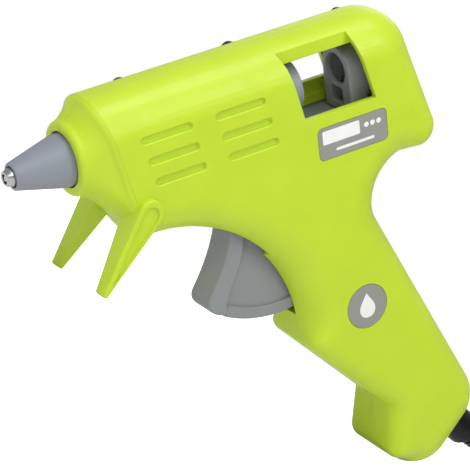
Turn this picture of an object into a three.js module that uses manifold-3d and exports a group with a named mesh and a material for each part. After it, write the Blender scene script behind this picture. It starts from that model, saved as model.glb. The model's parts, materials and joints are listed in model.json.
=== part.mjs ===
// A small mains glue gun for 7 mm sticks, standing on its two front feet and the flat of its butt.
// Millimetres. The gun is drawn in its barrel frame and then tipped onto the ground:
//   X runs rearward along the nozzle axis (0 where the nozzle cone leaves the collar),
//   Z is up across the barrel, and -Y is the left side.
import * as THREE from 'three';
import { mergeVertices } from 'three/addons/utils/BufferGeometryUtils.js';
import Module from 'manifold-3d';

const wasm = await Module();
wasm.setup();

// ---------------------------------------------------------------- driving dimensions
const TILT = THREE.MathUtils.degToRad(43.9); // nose-down angle of the barrel when the gun stands
const WALL = 1.8; // housing wall
const HALF_WIDTH = 13.5; // half the housing's width
const EDGE = 12.5; // rounding of the barrel's long edges
const SEAM = 0.15; // each half stops this far from the middle plane
const GAP = 0.3; // clearance between touching pieces
const TOP = 16.6; // barrel top above the nozzle axis
const RAKE = 0.218; // lean of the nose rim, vents and window edges, X per Z
const RIM_X = 8.9; // nose rim on the nozzle axis
const COLLAR = { x: -0.6, r: 11.2, bore: 8.3 }; // ring that the nozzle cone comes out of
const STICK_R = 3.6; // a 7 mm stick with its clearance
const PIVOT = { x: 61, z: -30.6, pin: 1.5 }; // trigger pivot
const RIM_R = 37.4; // outer radius of the trigger's curved lower rim
const ARM = 11.6; // trigger pivot to drive pin
const GUIDE_TOP = -13.3; // floor that the feed carriage slides on
const CORD_R = 2.5;
const CORD_EXIT = { x: 119, z: -126.1 }; // where the strain relief leaves the butt
const EXIT_TURN = THREE.MathUtils.degToRad(50); // its way out, down from the barrel's rearward axis
const SCREWS = [[25.4, 10.7], [62, 11], [99.8, 10.7], [31, -21.5], [111, -19], [85, -68], [99.6, -112.6]];
const SCREW_HEAD_R = 2.8;
const POST_R = 2.6;

// side outline of the housing: corner x, z, corner radius, edge rounding
const OUTLINE = [
  [-16, TOP, 13.5, EDGE],
  [109.9, TOP, 14.5, EDGE],
  [118.4, -26.8, 7, 6.5],
  [90.8, -33.9, 13, EDGE],
  [127.7, -118.8, 12, 11],
  [104, -138.7, 11.3, 10.5],
  [90.2, -125.4, 4.5, 4.5],
  [92.8, -109.7, 2, 6],
  [66.2, -79.6, 5, 4.6],
  [64.4, -28.9, 47, 10],
  [-16, -27.2, 13.5, EDGE],
];

// ---------------------------------------------------------------- solids
function toManifold(geometry) {
  const bare = geometry.clone();
  bare.deleteAttribute('normal');
  bare.deleteAttribute('uv');
  const merged = mergeVertices(bare, 1e-4);
  const corners = merged.index.array;
  const triVerts = Uint32Array.from(corners).filter((_, i) => {
    const [a, b, c] = corners.slice(i - (i % 3), i - (i % 3) + 3);
    return a !== b && b !== c && c !== a; // leaves out the flat triangles at a turned piece's axis
  });
  const vertProperties = Float32Array.from(merged.attributes.position.array);
  const result = new wasm.Manifold(new wasm.Mesh({ numProp: 3, vertProperties, triVerts }));
  if (result.volume() >= 0) {
    return result;
  }
  triVerts.reverse();
  return new wasm.Manifold(new wasm.Mesh({ numProp: 3, vertProperties, triVerts }));
}

function toGeometry(manifold) {
  const mesh = manifold.getMesh();
  const geometry = new THREE.BufferGeometry();
  geometry.setAttribute('position', new THREE.BufferAttribute(Float32Array.from(mesh.vertProperties), 3));
  geometry.setIndex(Array.from(mesh.triVerts));
  return geometry;
}

const joined = (first, ...rest) => rest.reduce((sum, next) => sum.add(next), first);
const without = (first, ...rest) => rest.reduce((sum, next) => sum.subtract(next), first);
const mirrored = (manifold) => manifold.mirror([0, 1, 0]);

// a flat outline in X and Z, given thickness from y0 to y1
function prism(points, y0, y1) {
  const shape = points instanceof THREE.Shape
    ? points : new THREE.Shape(points.map(([x, z]) => new THREE.Vector2(x, z)));
  const settings = { depth: y1 - y0, bevelEnabled: false, curveSegments: 5 };
  const geometry = new THREE.ExtrudeGeometry(shape, settings);
  geometry.rotateX(Math.PI / 2);
  geometry.translate(0, y1, 0);
  return toManifold(geometry);
}

function block(x0, x1, y0, y1, z0, z1) {
  return prism([[x0, z0], [x1, z0], [x1, z1], [x0, z1]], y0, y1);
}

// an outline in Y and Z, given length from x0 to x1
function bandAlong(shape, x0, x1) {
  const settings = { depth: x1 - x0, bevelEnabled: false, curveSegments: 4 };
  const geometry = new THREE.ExtrudeGeometry(shape, settings);
  geometry.rotateX(Math.PI / 2);
  geometry.rotateZ(Math.PI / 2);
  geometry.translate(x0, 0, 0);
  return toManifold(geometry);
}

// a round bar across the gun
function crossBar(x, z, radius, y0, y1, sides = 16) {
  const geometry = new THREE.CylinderGeometry(radius, radius, y1 - y0, sides);
  geometry.translate(x, (y0 + y1) / 2, z);
  return toManifold(geometry);
}

// a turned piece on the nozzle axis: profile of [x, radius], closed on itself or on the axis
function turned(profile, sides = 24) {
  const [first] = profile;
  const outline = first[1] > 0 ? [...profile, first] : profile;
  const geometry = new THREE.LatheGeometry(outline.map(([x, r]) => new THREE.Vector2(r, x)), sides);
  geometry.rotateZ(-Math.PI / 2);
  return toManifold(geometry);
}

// a capsule outline: a slot with round ends from one centre to the other
function slotShape(x0, z0, x1, z1, radius) {
  const along = Math.atan2(z1 - z0, x1 - x0);
  const shape = new THREE.Shape();
  shape.absarc(x1, z1, radius, along - Math.PI / 2, along + Math.PI / 2, false);
  shape.absarc(x0, z0, radius, along + Math.PI / 2, along + Math.PI * 1.5, false);
  return shape;
}

function roundedBox(cx, cz, width, height, radius) {
  const shape = new THREE.Shape();
  const corners = [[1, -1, -90], [1, 1, 0], [-1, 1, 90], [-1, -1, 180]];
  for (const [sx, sz, from] of corners) {
    const start = THREE.MathUtils.degToRad(from);
    shape.absarc(cx + sx * (width / 2 - radius), cz + sz * (height / 2 - radius), radius,
      start, start + Math.PI / 2, false);
  }
  return shape;
}

// a round wire or tube along a curve
function tube(points, radius, steps, sides, closed = false) {
  const curve = new THREE.CatmullRomCurve3(points, closed, 'centripetal');
  const section = new THREE.Shape();
  section.absarc(0, 0, radius, 0, Math.PI * 2, false);
  return toManifold(new THREE.ExtrudeGeometry(section, {
    steps, extrudePath: curve, bevelEnabled: false, curveSegments: sides,
  }));
}

// skin over a stack of closed rings, with flat ends; flat() gives a ring point's place in the end's plane
function loft(rings, flat) {
  const count = rings[0].length;
  const index = [];
  for (let ring = 0; ring + 1 < rings.length; ring++) {
    for (let i = 0; i < count; i++) {
      const a = ring * count + i;
      const b = ring * count + ((i + 1) % count);
      index.push(a, b, b + count, a, b + count, a + count);
    }
  }
  for (const [ring, flip] of [[0, true], [rings.length - 1, false]]) {
    const contour = rings[ring].map(flat);
    const way = Math.sign(THREE.ShapeUtils.area(contour));
    for (const [a, b, c] of THREE.ShapeUtils.triangulateShape(contour, [])) {
      const turn = Math.sign(THREE.ShapeUtils.area([contour[a], contour[b], contour[c]]));
      const face = (turn === way) === flip ? [a, c, b] : [a, b, c];
      index.push(...face.map((i) => ring * count + i));
    }
  }
  const geometry = new THREE.BufferGeometry().setFromPoints(rings.flat());
  geometry.setIndex(index);
  return toManifold(geometry);
}

// ---------------------------------------------------------------- housing form
// points of the outline with their outward normals; every corner becomes an arc
function outlinePoints(inset, degreesPerStep) {
  const points = [];
  OUTLINE.forEach(([x, z, radius, edge], i) => {
    const here = new THREE.Vector2(x, z);
    const before = new THREE.Vector2(...OUTLINE.at(i - 1).slice(0, 2));
    const after = new THREE.Vector2(...OUTLINE[(i + 1) % OUTLINE.length].slice(0, 2));
    const way = here.clone().sub(before).normalize();
    const next = after.clone().sub(here).normalize();
    const turn = Math.atan2(way.cross(next), way.dot(next)); // negative at a convex corner
    const side = turn < 0 ? 1 : -1;
    const first = new THREE.Vector2(-way.y, way.x); // outward, the outline runs clockwise
    const reach = radius * Math.tan(Math.abs(turn) / 2);
    const centre = here.clone().addScaledVector(way, -reach).addScaledVector(first, -side * radius);
    const steps = Math.max(1, Math.round(THREE.MathUtils.radToDeg(Math.abs(turn)) / degreesPerStep));
    for (let step = 0; step <= steps; step++) {
      const normal = first.clone().rotateAround(new THREE.Vector2(), (turn * step) / steps);
      const at = centre.clone().addScaledVector(normal, side * radius - inset);
      points.push({ at, normal, edge: Math.max(edge - inset, 0.5) });
    }
  });
  return points;
}

// half of the housing form, from y0 out to its side, with its long edges rounded
function pillow(inset, y0, layers, degreesPerStep) {
  const points = outlinePoints(inset, degreesPerStep);
  const side = HALF_WIDTH - inset;
  const rings = [points.map(({ at }) => new THREE.Vector3(at.x, y0, at.y))];
  for (let layer = 0; layer <= layers; layer++) {
    const angle = (layer / layers) * Math.PI / 2;
    rings.push(points.map(({ at, normal, edge }) => {
      const inward = edge * (1 - Math.cos(angle));
      const y = side - edge * (1 - Math.sin(angle));
      return new THREE.Vector3(at.x - normal.x * inward, y, at.y - normal.y * inward);
    }));
  }
  return loft(rings, (p) => new THREE.Vector2(p.x, p.z));
}

// the part of a solid behind the raked plane that meets the nozzle axis at x
function behindRake(solid, x) {
  const far = 60;
  return solid.intersect(prism([
    [x + RAKE * far, -far], [200, -far], [200, -160], [x + RAKE * far, -160],
  ], -40, 40).add(prism([
    [x - RAKE * far, far], [200, far], [200, -far - 1], [x + RAKE * far, -far - 1],
  ], -40, 40)));
}

// one ring of the nose: the barrel's section, shrunk, on the raked plane through x
function noseRing(x, shrink) {
  const ring = [];
  const bottom = -27.7;
  const edge = EDGE - shrink;
  const quadrants = [[1, 1, 0], [-1, 1, 90], [-1, -1, 180], [1, -1, 270]];
  for (const [sy, sz, from] of quadrants) {
    const cy = sy * (HALF_WIDTH - EDGE);
    const cz = sz > 0 ? TOP - EDGE : bottom + EDGE;
    for (let step = 0; step <= 4; step++) {
      const angle = THREE.MathUtils.degToRad(from + step * 22.5);
      const z = cz + edge * Math.sin(angle);
      ring.push(new THREE.Vector3(x - RAKE * z, cy + edge * Math.cos(angle), z));
    }
  }
  return ring;
}

// the matching ring on the round collar
function collarRing(x, radius) {
  const ring = [];
  for (let quadrant = 0; quadrant < 4; quadrant++) {
    for (let step = 0; step <= 4; step++) {
      const angle = THREE.MathUtils.degToRad(quadrant * 90 + 7 + step * 19);
      ring.push(new THREE.Vector3(x, radius * Math.cos(angle), radius * Math.sin(angle)));
    }
  }
  return ring;
}

// the nose: a soft rim, a hollow slope and the collar round the nozzle
function noseForm() {
  const rim = noseRing(RIM_X, 1.4);
  const neck = collarRing(COLLAR.x + 1.8, COLLAR.r);
  const slope = [[0.28, 0.16], [0.54, 0.38], [0.76, 0.6], [0.92, 0.82], [1, 1]];
  const rings = [noseRing(RIM_X + 6, 0.4), noseRing(RIM_X + 2, 0.05), noseRing(RIM_X + 0.7, 0.5), rim];
  for (const [inward, forward] of slope) {
    rings.push(rim.map((p, i) => new THREE.Vector3(
      THREE.MathUtils.lerp(p.x, neck[i].x, forward),
      THREE.MathUtils.lerp(p.y, neck[i].y, inward),
      THREE.MathUtils.lerp(p.z, neck[i].z, inward),
    )));
  }
  rings.push(collarRing(COLLAR.x + 0.5, COLLAR.r - 0.3), collarRing(COLLAR.x, COLLAR.r - 1));
  return loft(rings, (p) => new THREE.Vector2(p.y, p.z));
}

// ---------------------------------------------------------------- housing features
const LEG = { outer: 15.5, footInner: 10.6, rootInner: 7.6, rootZ: -22, footZ: -37.4 };

function legForm() {
  const shape = new THREE.Shape();
  shape.moveTo(-1.75, -36.9);
  shape.lineTo(-0.6, -38);
  shape.lineTo(19.6, -20.6);
  shape.absarc(16.9, -17.5, 4.1, THREE.MathUtils.degToRad(-48), THREE.MathUtils.degToRad(144), false);
  const settings = { depth: LEG.outer, bevelEnabled: false, curveSegments: 8 };
  const geometry = new THREE.ExtrudeGeometry(shape, settings);
  geometry.rotateX(Math.PI / 2);
  geometry.translate(0, LEG.outer, 0);
  // the inner face leans out towards the foot
  const position = geometry.attributes.position;
  for (let i = 0; i < position.count; i++) {
    if (position.getY(i) < 1) {
      const down = (position.getZ(i) - LEG.rootZ) / (LEG.footZ - LEG.rootZ);
      position.setY(i, THREE.MathUtils.lerp(LEG.rootInner, LEG.footInner, down));
    }
  }
  const channel = new THREE.Shape();
  channel.moveTo(1.4, -35.2);
  channel.lineTo(17.9, -19.9);
  channel.absarc(16.7, -17.8, 2.4, THREE.MathUtils.degToRad(-48), THREE.MathUtils.degToRad(144), false);
  return toManifold(geometry).subtract(prism(channel, LEG.outer - 0.9, LEG.outer + 1));
}

function ventGrooves() {
  const cuts = [];
  for (const start of [17.2, 41.4]) {
    for (let row = 0; row < 3; row++) {
      const x = start + row * 1.45;
      const z = 3.7 - row * 6.65;
      cuts.push(prism(slotShape(x + 1.35, z, x + 15.7, z, 1.35), HALF_WIDTH - 0.95, HALF_WIDTH + 2));
    }
  }
  return cuts;
}

const STRIP = { y: 8.2, top: 18, bottom: 10.4 }; // flat strip along the window's upper edge
const WINDOW = [[67.1, STRIP.bottom], [90.8, STRIP.bottom], [95.1, -6.4], [70.7, -6.4]];
const LABEL = { x: 86.1, z: -15.4, width: 23.8, height: 10, radius: 1.6 };
const BADGE = { x: 85.5, z: -71.1, radius: 6.95 };

function saddle(x0, x1, radius, z0, z1) {
  const rib = block(x0, x1, SEAM, HALF_WIDTH, z0, z1);
  return rib.subtract(turned([[x0 - 1, 0], [x0 - 1, radius], [x1 + 1, radius], [x1 + 1, 0]], 20));
}

// a housing half on the +Y side, with the screw heads' seats or with the label's and badge's recesses
function housingHalf(isScrewSide) {
  const form = behindRake(pillow(0, SEAM, 4, 15), RIM_X + 1.8)
    .add(noseForm().intersect(block(-20, 40, SEAM, 30, -60, 40)));
  const cavity = behindRake(pillow(WALL, SEAM - 1, 3, 22), RIM_X + 4);
  const posts = SCREWS.map(([x, z]) => crossBar(x, z, POST_R, SEAM, HALF_WIDTH, 12));
  const inside = joined(
    saddle(22, 24, 7 + GAP, -8, 15),
    saddle(59, 61, 7 + GAP, -8, 15),
    saddle(65.5, 67, 8.2 + GAP, -12.5, 15),
    crossBar(PIVOT.x, PIVOT.z, 4, 5.6, HALF_WIDTH),
    block(62.5, 93.5, 6.4, STRIP.y, STRIP.bottom, 15.2),
    block(72, 104, 9.3, 12.5, -17.4, -15.2),
    block(72, 104, 10, 12.5, -13, -10.2),
    ...posts,
  ).intersect(form);
  let half = form.subtract(cavity).add(inside).add(legForm().subtract(cavity));
  const strip = prism([[64.7, STRIP.top], [88.6, STRIP.top], [90.8, STRIP.bottom - 0.1],
    [67.1, STRIP.bottom - 0.1]], STRIP.y, 30);
  const triggerSlot = prism([[40.5, -26], [56, -26], [63, -44], [70, -60], [70, -70.2],
    [58, -70.2], [46, -56], [36, -40]], -1, 4.6);
  const bladePocket = prism([[38, -27], [52, -27], [58, -46], [52, -52], [36, -40]], -1, 7.2);
  const cordHole = strainReliefBar(4.9, -12, 14);
  half = without(
    half,
    prism(WINDOW, -1, 30), strip, triggerSlot, bladePocket, cordHole,
    turned([[-10, 0], [-10, COLLAR.bore], [12.7, COLLAR.bore], [12.7, 9.9], [18, 9.9], [18, 0]], 28),
    turned([[104, 0], [104, 4.6], [130, 4.6], [130, 0]], 16),
    crossBar(PIVOT.x, PIVOT.z, PIVOT.pin + GAP, -1, 11.4, 12),
    ...ventGrooves(),
  );
  for (const [x, z] of SCREWS) {
    const seat = z > 0 ? 10.6 : HALF_WIDTH - 1.6;
    half = isScrewSide
      ? without(half, crossBar(x, z, 1.75, -1, 20, 10), crossBar(x, z, SCREW_HEAD_R + GAP, seat, 20, 16))
      : half.subtract(crossBar(x, z, 1.6, -1, 8, 10));
  }
  return isScrewSide ? half : without(
    half,
    prism(roundedBox(LABEL.x, LABEL.z, LABEL.width + 0.6, LABEL.height + 0.6, LABEL.radius + 0.3),
      HALF_WIDTH - 0.8, 40),
    crossBar(BADGE.x, BADGE.z, BADGE.radius + 0.3, HALF_WIDTH - 0.8, 40, 24),
  );
}

// a round bar along the cord's way out of the butt, from one distance to another
function strainReliefBar(radius, from, to, sides = 16, endRadius = radius) {
  const geometry = new THREE.CylinderGeometry(endRadius, radius, to - from, sides);
  geometry.translate(0, (from + to) / 2, 0);
  geometry.rotateZ(-Math.PI / 2); // along +X
  geometry.rotateY(EXIT_TURN);
  geometry.translate(CORD_EXIT.x, 0, CORD_EXIT.z);
  return toManifold(geometry);
}
// ---------------------------------------------------------------- hot end
function nozzleTip() {
  return turned([
    [-19.3, 1.4], [-19.3, 1.8], [-18.9, 2.4], [-17.5, 2.75], [-14, 2.9], [-1, 4.8], [14.8, 4.8],
    [14.8, 7.4], [18.6, 7.4], [18.6, 4.2], [24, 4.2], [24, 1.7], [-17.4, 1.7],
  ]);
}

function nozzleSleeve() {
  return turned([
    [-17.2, 3.1], [-17.2, 3.7], [-16.8, 4.1], [-2.2, 7.8], [13, 7.9], [13, 9.6], [14.4, 9.6],
    [14.4, 5.1], [-1, 5.1], [-14, 3.2],
  ], 28);
}

function valveBall() {
  const geometry = new THREE.SphereGeometry(1.3, 12, 8);
  geometry.translate(-17.9, 0, 0);
  return toManifold(geometry);
}

// a coil spring along X
function coilSpring(x0, x1, z, radius, wire, turns, sides = 5) {
  const steps = turns * 8;
  const points = [];
  for (let step = 0; step <= steps; step++) {
    const angle = (step / steps) * turns * Math.PI * 2;
    const x = THREE.MathUtils.lerp(x0, x1, step / steps);
    points.push(new THREE.Vector3(x, radius * Math.cos(angle), z + radius * Math.sin(angle)));
  }
  return tube(points, wire, steps, sides);
}

const HEATER = { x0: 28, x1: 50, half: 5.6, top: -10.5 };

function meltChamber() {
  const barrel = turned([[19, 0], [19, 8.4], [21, 8.4], [21, 7], [63, 7], [63, 0]]);
  const pad = block(HEATER.x0 - 2, HEATER.x1 + 2, -6.2, 6.2, HEATER.top + GAP, -4);
  const bore = turned([[18, 0], [18, 4.5], [24.6, 4.5], [26, STICK_R + 0.2], [64, STICK_R + 0.2], [64, 0]]);
  return barrel.add(pad).subtract(bore);
}

function electrode(top, side) {
  const tabX = HEATER.x1 + 3;
  const plate = block(HEATER.x0, HEATER.x1, -HEATER.half, HEATER.half, top - 0.5, top);
  return plate.add(block(HEATER.x1 - 0.1, tabX, side * 4.9 - 1.4, side * 4.9 + 1.4, top - 0.5, top));
}

function heaterClip() {
  const outline = [[-8.4, -15.9], [8.4, -15.9], [8.4, 3.2], [7.5, 3.2], [7.5, -15.2], [-7.5, -15.2],
    [-7.5, 3.2], [-8.4, 3.2]];
  return bandAlong(new THREE.Shape(outline.map(([y, z]) => new THREE.Vector2(y, z))), 34, 43);
}

function inletSleeve() {
  return turned([[64, 4.2], [64, 8.2], [73.6, 8.2], [74.3, 7.6], [74.3, 4.2]], 28);
}

// ---------------------------------------------------------------- feed
const FEED = { front: 90.4, rear: 102.5, half: 7.2, barTop: -16.3, barBottom: -19.2 };
const DRIVE = { x: PIVOT.x, z: PIVOT.z + ARM, pin: 1.3 };

function feedGuide() {
  return without(
    block(69.5, 104, -10.8, 10.8, GUIDE_TOP - 1.6, GUIDE_TOP),
    block(82, 110, -2, 2, GUIDE_TOP - 3, GUIDE_TOP + 1),
  );
}

function feedCarriage() {
  const { front, rear, half, barTop, barBottom } = FEED;
  const arch = block(front, rear, -half, half, GUIDE_TOP + GAP, 0)
    .add(turned([[front, 0], [front, half], [rear, half], [rear, 0]], 28));
  const hole = turned([[front - 1, 0], [front - 1, 4.4], [rear + 1, 4.4], [rear + 1, 0]], 20);
  const pocket = block(front + 2, rear - 3, -2.9, 2.9, -11, 0);
  const mouth = block(front - 1, front + 3, -2.9, 2.9, -10.6, -5.4);
  const keel = block(front + 1, rear - 1, -1.6, 1.6, barBottom, GUIDE_TOP + 1);
  const bar = block(DRIVE.x + 3, rear - 1, -3, 3, barBottom, barTop);
  const fork = block(DRIVE.x - 4.4, DRIVE.x + 4.4, -4.6, 4.6, DRIVE.z - 3.4, barTop);
  const gripperHole = crossBar(JAW.x, JAW.z, 1.1, -8, 8, 10);
  return without(
    joined(arch.subtract(joined(hole, pocket, mouth)), keel, bar, fork),
    block(DRIVE.x - 5, DRIVE.x + 3, -2.3, 2.3, DRIVE.z - 4, barTop + 1),
    block(DRIVE.x - 5, DRIVE.x + 5, -2.3, 2.3, DRIVE.z - 4, barBottom - GAP),
    block(DRIVE.x - DRIVE.pin - 0.35, DRIVE.x + DRIVE.pin + 0.35, -5, 5, DRIVE.z - 4, DRIVE.z + 1.7),
    gripperHole,
  );
}

const JAW = { x: 97.3, z: -7.6 };

// the toothed lever that rises through the carriage floor and bites the stick
function stickGripper() {
  const lever = prism([[93.4, -5.2], [94.2, -3.9], [95, -4.9], [95.8, -3.9], [96.6, -4.9], [97.4, -4.3],
    [98.8, -7.2], [98.4, -9.2], [96.4, -9.4], [93.6, -7.2]], -2.5, 2.5);
  return lever.subtract(crossBar(JAW.x, JAW.z, 1.1, -4, 4, 10));
}

// ---------------------------------------------------------------- trigger
function trigger() {
  const blade = new THREE.Shape();
  blade.moveTo(47.8, -31);
  blade.bezierCurveTo(47, -40, 42.4, -48.4, 37.4, -54.8);
  blade.bezierCurveTo(35.4, -57.6, 37.2, -60.4, 41, -61.8);
  blade.bezierCurveTo(43, -62.4, 42.8, -60, 43.2, -58.6);
  blade.bezierCurveTo(44.6, -54, 48.8, -49.6, 49.8, -45);
  blade.bezierCurveTo(50.8, -41.4, 52, -38.6, 52.6, -31);
  const bladeDepth = 5.6;
  const bevel = 2.6;
  const round = new THREE.ExtrudeGeometry(blade, {
    depth: bladeDepth, bevelThickness: bevel, bevelSize: 1.3, bevelOffset: -1.3, bevelSegments: 2,
    curveSegments: 4,
  });
  round.rotateX(Math.PI / 2);
  round.translate(0, bladeDepth / 2, 0);
  const polar = (radius, degrees) => {
    const angle = THREE.MathUtils.degToRad(degrees);
    return [PIVOT.x + radius * Math.cos(angle), PIVOT.z + radius * Math.sin(angle)];
  };
  const from = -121;
  const to = -77;
  const sweep = (radius, step) => polar(radius, from + (to - from) * step / 8);
  const steps = [0, 1, 2, 3, 4, 5, 6, 7, 8];
  const rim = prism([
    ...steps.map((step) => sweep(RIM_R, step)),
    ...steps.map((step) => sweep(RIM_R - 3.2, 8 - step)),
  ], -4.2, 4.2);
  const web = prism([
    ...steps.map((step) => sweep(RIM_R - 1, step)),
    [PIVOT.x + 3.6, PIVOT.z - 2], [PIVOT.x - 3.6, PIVOT.z - 1], [46.5, -38], [47, -46], [41, -57],
  ], -3.4, 3.4);
  const hub = crossBar(PIVOT.x, PIVOT.z, 4.2, -5.2, 5.2);
  const arm = prism([
    [PIVOT.x - 3.4, PIVOT.z], [PIVOT.x + 3.4, PIVOT.z], [DRIVE.x + 1.9, DRIVE.z + 1], [DRIVE.x, DRIVE.z + 1.6],
    [DRIVE.x - 1.9, DRIVE.z + 1],
  ], -1.9, 1.9);
  return joined(toManifold(round), rim, web, hub, arm, crossBar(DRIVE.x, DRIVE.z, DRIVE.pin, -4.5, 4.5, 12))
    .subtract(crossBar(PIVOT.x, PIVOT.z, PIVOT.pin + GAP, -8, 8, 12));
}

// ---------------------------------------------------------------- screws, wiring and cord
function housingScrew(x, z) {
  const head = z > 0 ? 10.9 : HALF_WIDTH - 1.3;
  const top = head + 1.5;
  return without(
    joined(crossBar(x, z, SCREW_HEAD_R, head, top, 14), crossBar(x, z, 1.4, -7, head + 0.5, 10)),
    block(x - 1.7, x + 1.7, top - 0.7, top + 1, z - 0.4, z + 0.4),
    block(x - 0.4, x + 0.4, top - 0.7, top + 1, z - 1.7, z + 1.7),
  );
}

const CLAMP_AT = -9.4; // distance along the cord's way out
const alongExit = (distance, across) => [
  CORD_EXIT.x + distance * Math.cos(EXIT_TURN) + across * Math.sin(EXIT_TURN),
  CORD_EXIT.z - distance * Math.sin(EXIT_TURN) + across * Math.cos(EXIT_TURN),
];
const CLAMP_POSTS = [-5.4, 5.4].map((across) => alongExit(CLAMP_AT, across));

function cordClamp() {
  const shape = new THREE.Shape([[-2, -7.6], [2, -7.6], [2, 7.6], [-2, 7.6]]
    .map(([along, across]) => new THREE.Vector2(...alongExit(CLAMP_AT + along, across))));
  return prism(shape, 2.9, 4.7)
    .subtract(joined(...CLAMP_POSTS.map(([x, z]) => crossBar(x, z, 1.5, 0, 8, 10))));
}

function clampScrew([x, z]) {
  return crossBar(x, z, 2.1, 5, 6.4, 12).add(crossBar(x, z, 1.2, -5, 5.2, 10));
}

function strainRelief() {
  const [from, neck, collar, end] = [-5.6, -3.2, 10.4, 36];
  return joined(
    strainReliefBar(6, from, neck),
    strainReliefBar(4.6, from, 1),
    strainReliefBar(5.4, 0.4, collar - 0.8),
    strainReliefBar(5.4, collar - 0.8, collar, 16, 4.8),
    strainReliefBar(3.9, collar - 0.5, end, 16, 2.9),
  );
}

function innerLead(side) {
  const top = side > 0 ? HEATER.top - 0.25 : HEATER.top - 3.35;
  const [endX, endZ] = alongExit(-14, 0);
  return tube([
    [58.6, 4.9, top], [64, 7, -15], [72, 8.2, -20.5], [82, 8.2, -22.5], [88.5, 7.8, -27], [90.5, 7, -36],
    [92, 6, -46], [97, 5, -60], [103, 4, -78], [108, 3, -96], [111, 2, -107], [endX, 1.3, endZ],
  ].map(([x, y, z]) => new THREE.Vector3(x, side * y, z)), 0.9, 34, 6);
}

function leadTerminal(side) {
  const z = side > 0 ? HEATER.top - 0.25 : HEATER.top - 3.35;
  const geometry = new THREE.CylinderGeometry(1.2, 1.2, 4.4, 8);
  geometry.rotateZ(Math.PI / 2);
  geometry.translate(55.6, side * 4.9, z);
  return toManifold(geometry);
}

// ---------------------------------------------------------------- assembly
const LIME = { color: 0xc3de3a, roughness: 0.45, metalness: 0 };
const BLUE_GREY = { color: 0x8a909b, roughness: 0.5, metalness: 0 };
const GREY = { color: 0x83878a, roughness: 0.5, metalness: 0 };
const LABEL_GREY = { color: 0x8f8f88, roughness: 0.5, metalness: 0 };
const BLACK = { color: 0x16161a, roughness: 0.6, metalness: 0 };
const STEEL = { color: 0xb9bcc0, roughness: 0.3, metalness: 1 };
const DARK_STEEL = { color: 0x3a3b3e, roughness: 0.4, metalness: 1 };
const ALUMINIUM = { color: 0xbfc1c4, roughness: 0.4, metalness: 1 };
const BRASS = { color: 0xb79a52, roughness: 0.35, metalness: 1 };
const CERAMIC = { color: 0x5d5a55, roughness: 0.8, metalness: 0 };
const AMBER_FILM = { color: 0xb0742a, roughness: 0.4, metalness: 0 };
const BROWN = { color: 0x6b3f22, roughness: 0.5, metalness: 0 };
const BLUE = { color: 0x2b4f8c, roughness: 0.5, metalness: 0 };

function add(group, name, shape, look) {
  const geometry = shape.isBufferGeometry ? shape : toGeometry(shape);
  const mesh = new THREE.Mesh(geometry, new THREE.MeshStandardMaterial(look));
  mesh.name = name;
  group.add(mesh);
  return mesh;
}

const gun = new THREE.Group();
const clampBosses = joined(...CLAMP_POSTS.map(([x, z]) => crossBar(x, z, 2.6, -12.6, 2.6, 12)
  .subtract(crossBar(x, z, 1.5, -6, 4, 10))));
const clampRoom = joined(...CLAMP_POSTS.map(([x, z]) => crossBar(x, z, 3, -2, 2.9, 12)));
add(gun, 'left_housing', mirrored(housingHalf(false)).add(clampBosses), LIME);
add(gun, 'right_housing', housingHalf(true).subtract(clampRoom), LIME);
add(gun, 'nozzle_tip', nozzleTip(), STEEL);
add(gun, 'nozzle_sleeve', nozzleSleeve(), BLUE_GREY);
add(gun, 'valve_ball', valveBall(), STEEL);
add(gun, 'valve_spring', coilSpring(-16, -8, 0, 1.15, 0.25, 5), STEEL);
add(gun, 'melt_chamber', meltChamber(), ALUMINIUM);
add(gun, 'upper_electrode', electrode(HEATER.top, 1), BRASS);
add(gun, 'ptc_heater',
  block(HEATER.x0 + 1, HEATER.x1 - 1, -5, 5, HEATER.top - 2.8, HEATER.top - 0.8), CERAMIC);
add(gun, 'lower_electrode', electrode(HEATER.top - 3.1, -1), BRASS);
add(gun, 'insulating_film',
  block(HEATER.x0, HEATER.x1, -6.4, 6.4, HEATER.top - 4.3, HEATER.top - 3.9), AMBER_FILM);
add(gun, 'heater_clip', heaterClip(), STEEL);
add(gun, 'inlet_sleeve', inletSleeve(), BLUE_GREY);
add(gun, 'feed_guide', feedGuide(), BLUE_GREY);
add(gun, 'feed_carriage', feedCarriage(), GREY);
add(gun, 'stick_gripper', stickGripper(), STEEL);
add(gun, 'gripper_pin', crossBar(JAW.x, JAW.z, 0.8, -7, 7, 10), STEEL);
add(gun, 'return_spring', coilSpring(102.3, 107.8, -17.6, 1.7, 0.35, 5), STEEL);
add(gun, 'trigger', trigger(), GREY);
add(gun, 'trigger_pivot_pin', crossBar(PIVOT.x, PIVOT.z, PIVOT.pin, -11.1, 11.1, 12), STEEL);
SCREWS.forEach(([x, z], i) => add(gun, `housing_screw_${i + 1}`, housingScrew(x, z), DARK_STEEL));
add(gun, 'side_label', prism(roundedBox(LABEL.x, LABEL.z, LABEL.width, LABEL.height, LABEL.radius),
  -HALF_WIDTH - 0.05, -HALF_WIDTH + 0.45), LABEL_GREY);
add(gun, 'handle_badge', crossBar(BADGE.x, BADGE.z, BADGE.radius, -HALF_WIDTH - 0.05, -HALF_WIDTH + 0.45, 32),
  LABEL_GREY);
add(gun, 'strain_relief', strainRelief(), BLACK);
add(gun, 'cord_clamp', cordClamp(), BLACK);
CLAMP_POSTS.forEach((post, i) => add(gun, `clamp_screw_${i + 1}`, clampScrew(post), STEEL));
add(gun, 'cord_sheath_end', strainReliefBar(CORD_R, -13.4, -5.9, 12), BLACK);
add(gun, 'live_lead', innerLead(1), BROWN);
add(gun, 'neutral_lead', innerLead(-1), BLUE);
add(gun, 'live_terminal', leadTerminal(1), BRASS);
add(gun, 'neutral_terminal', leadTerminal(-1), BRASS);

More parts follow.
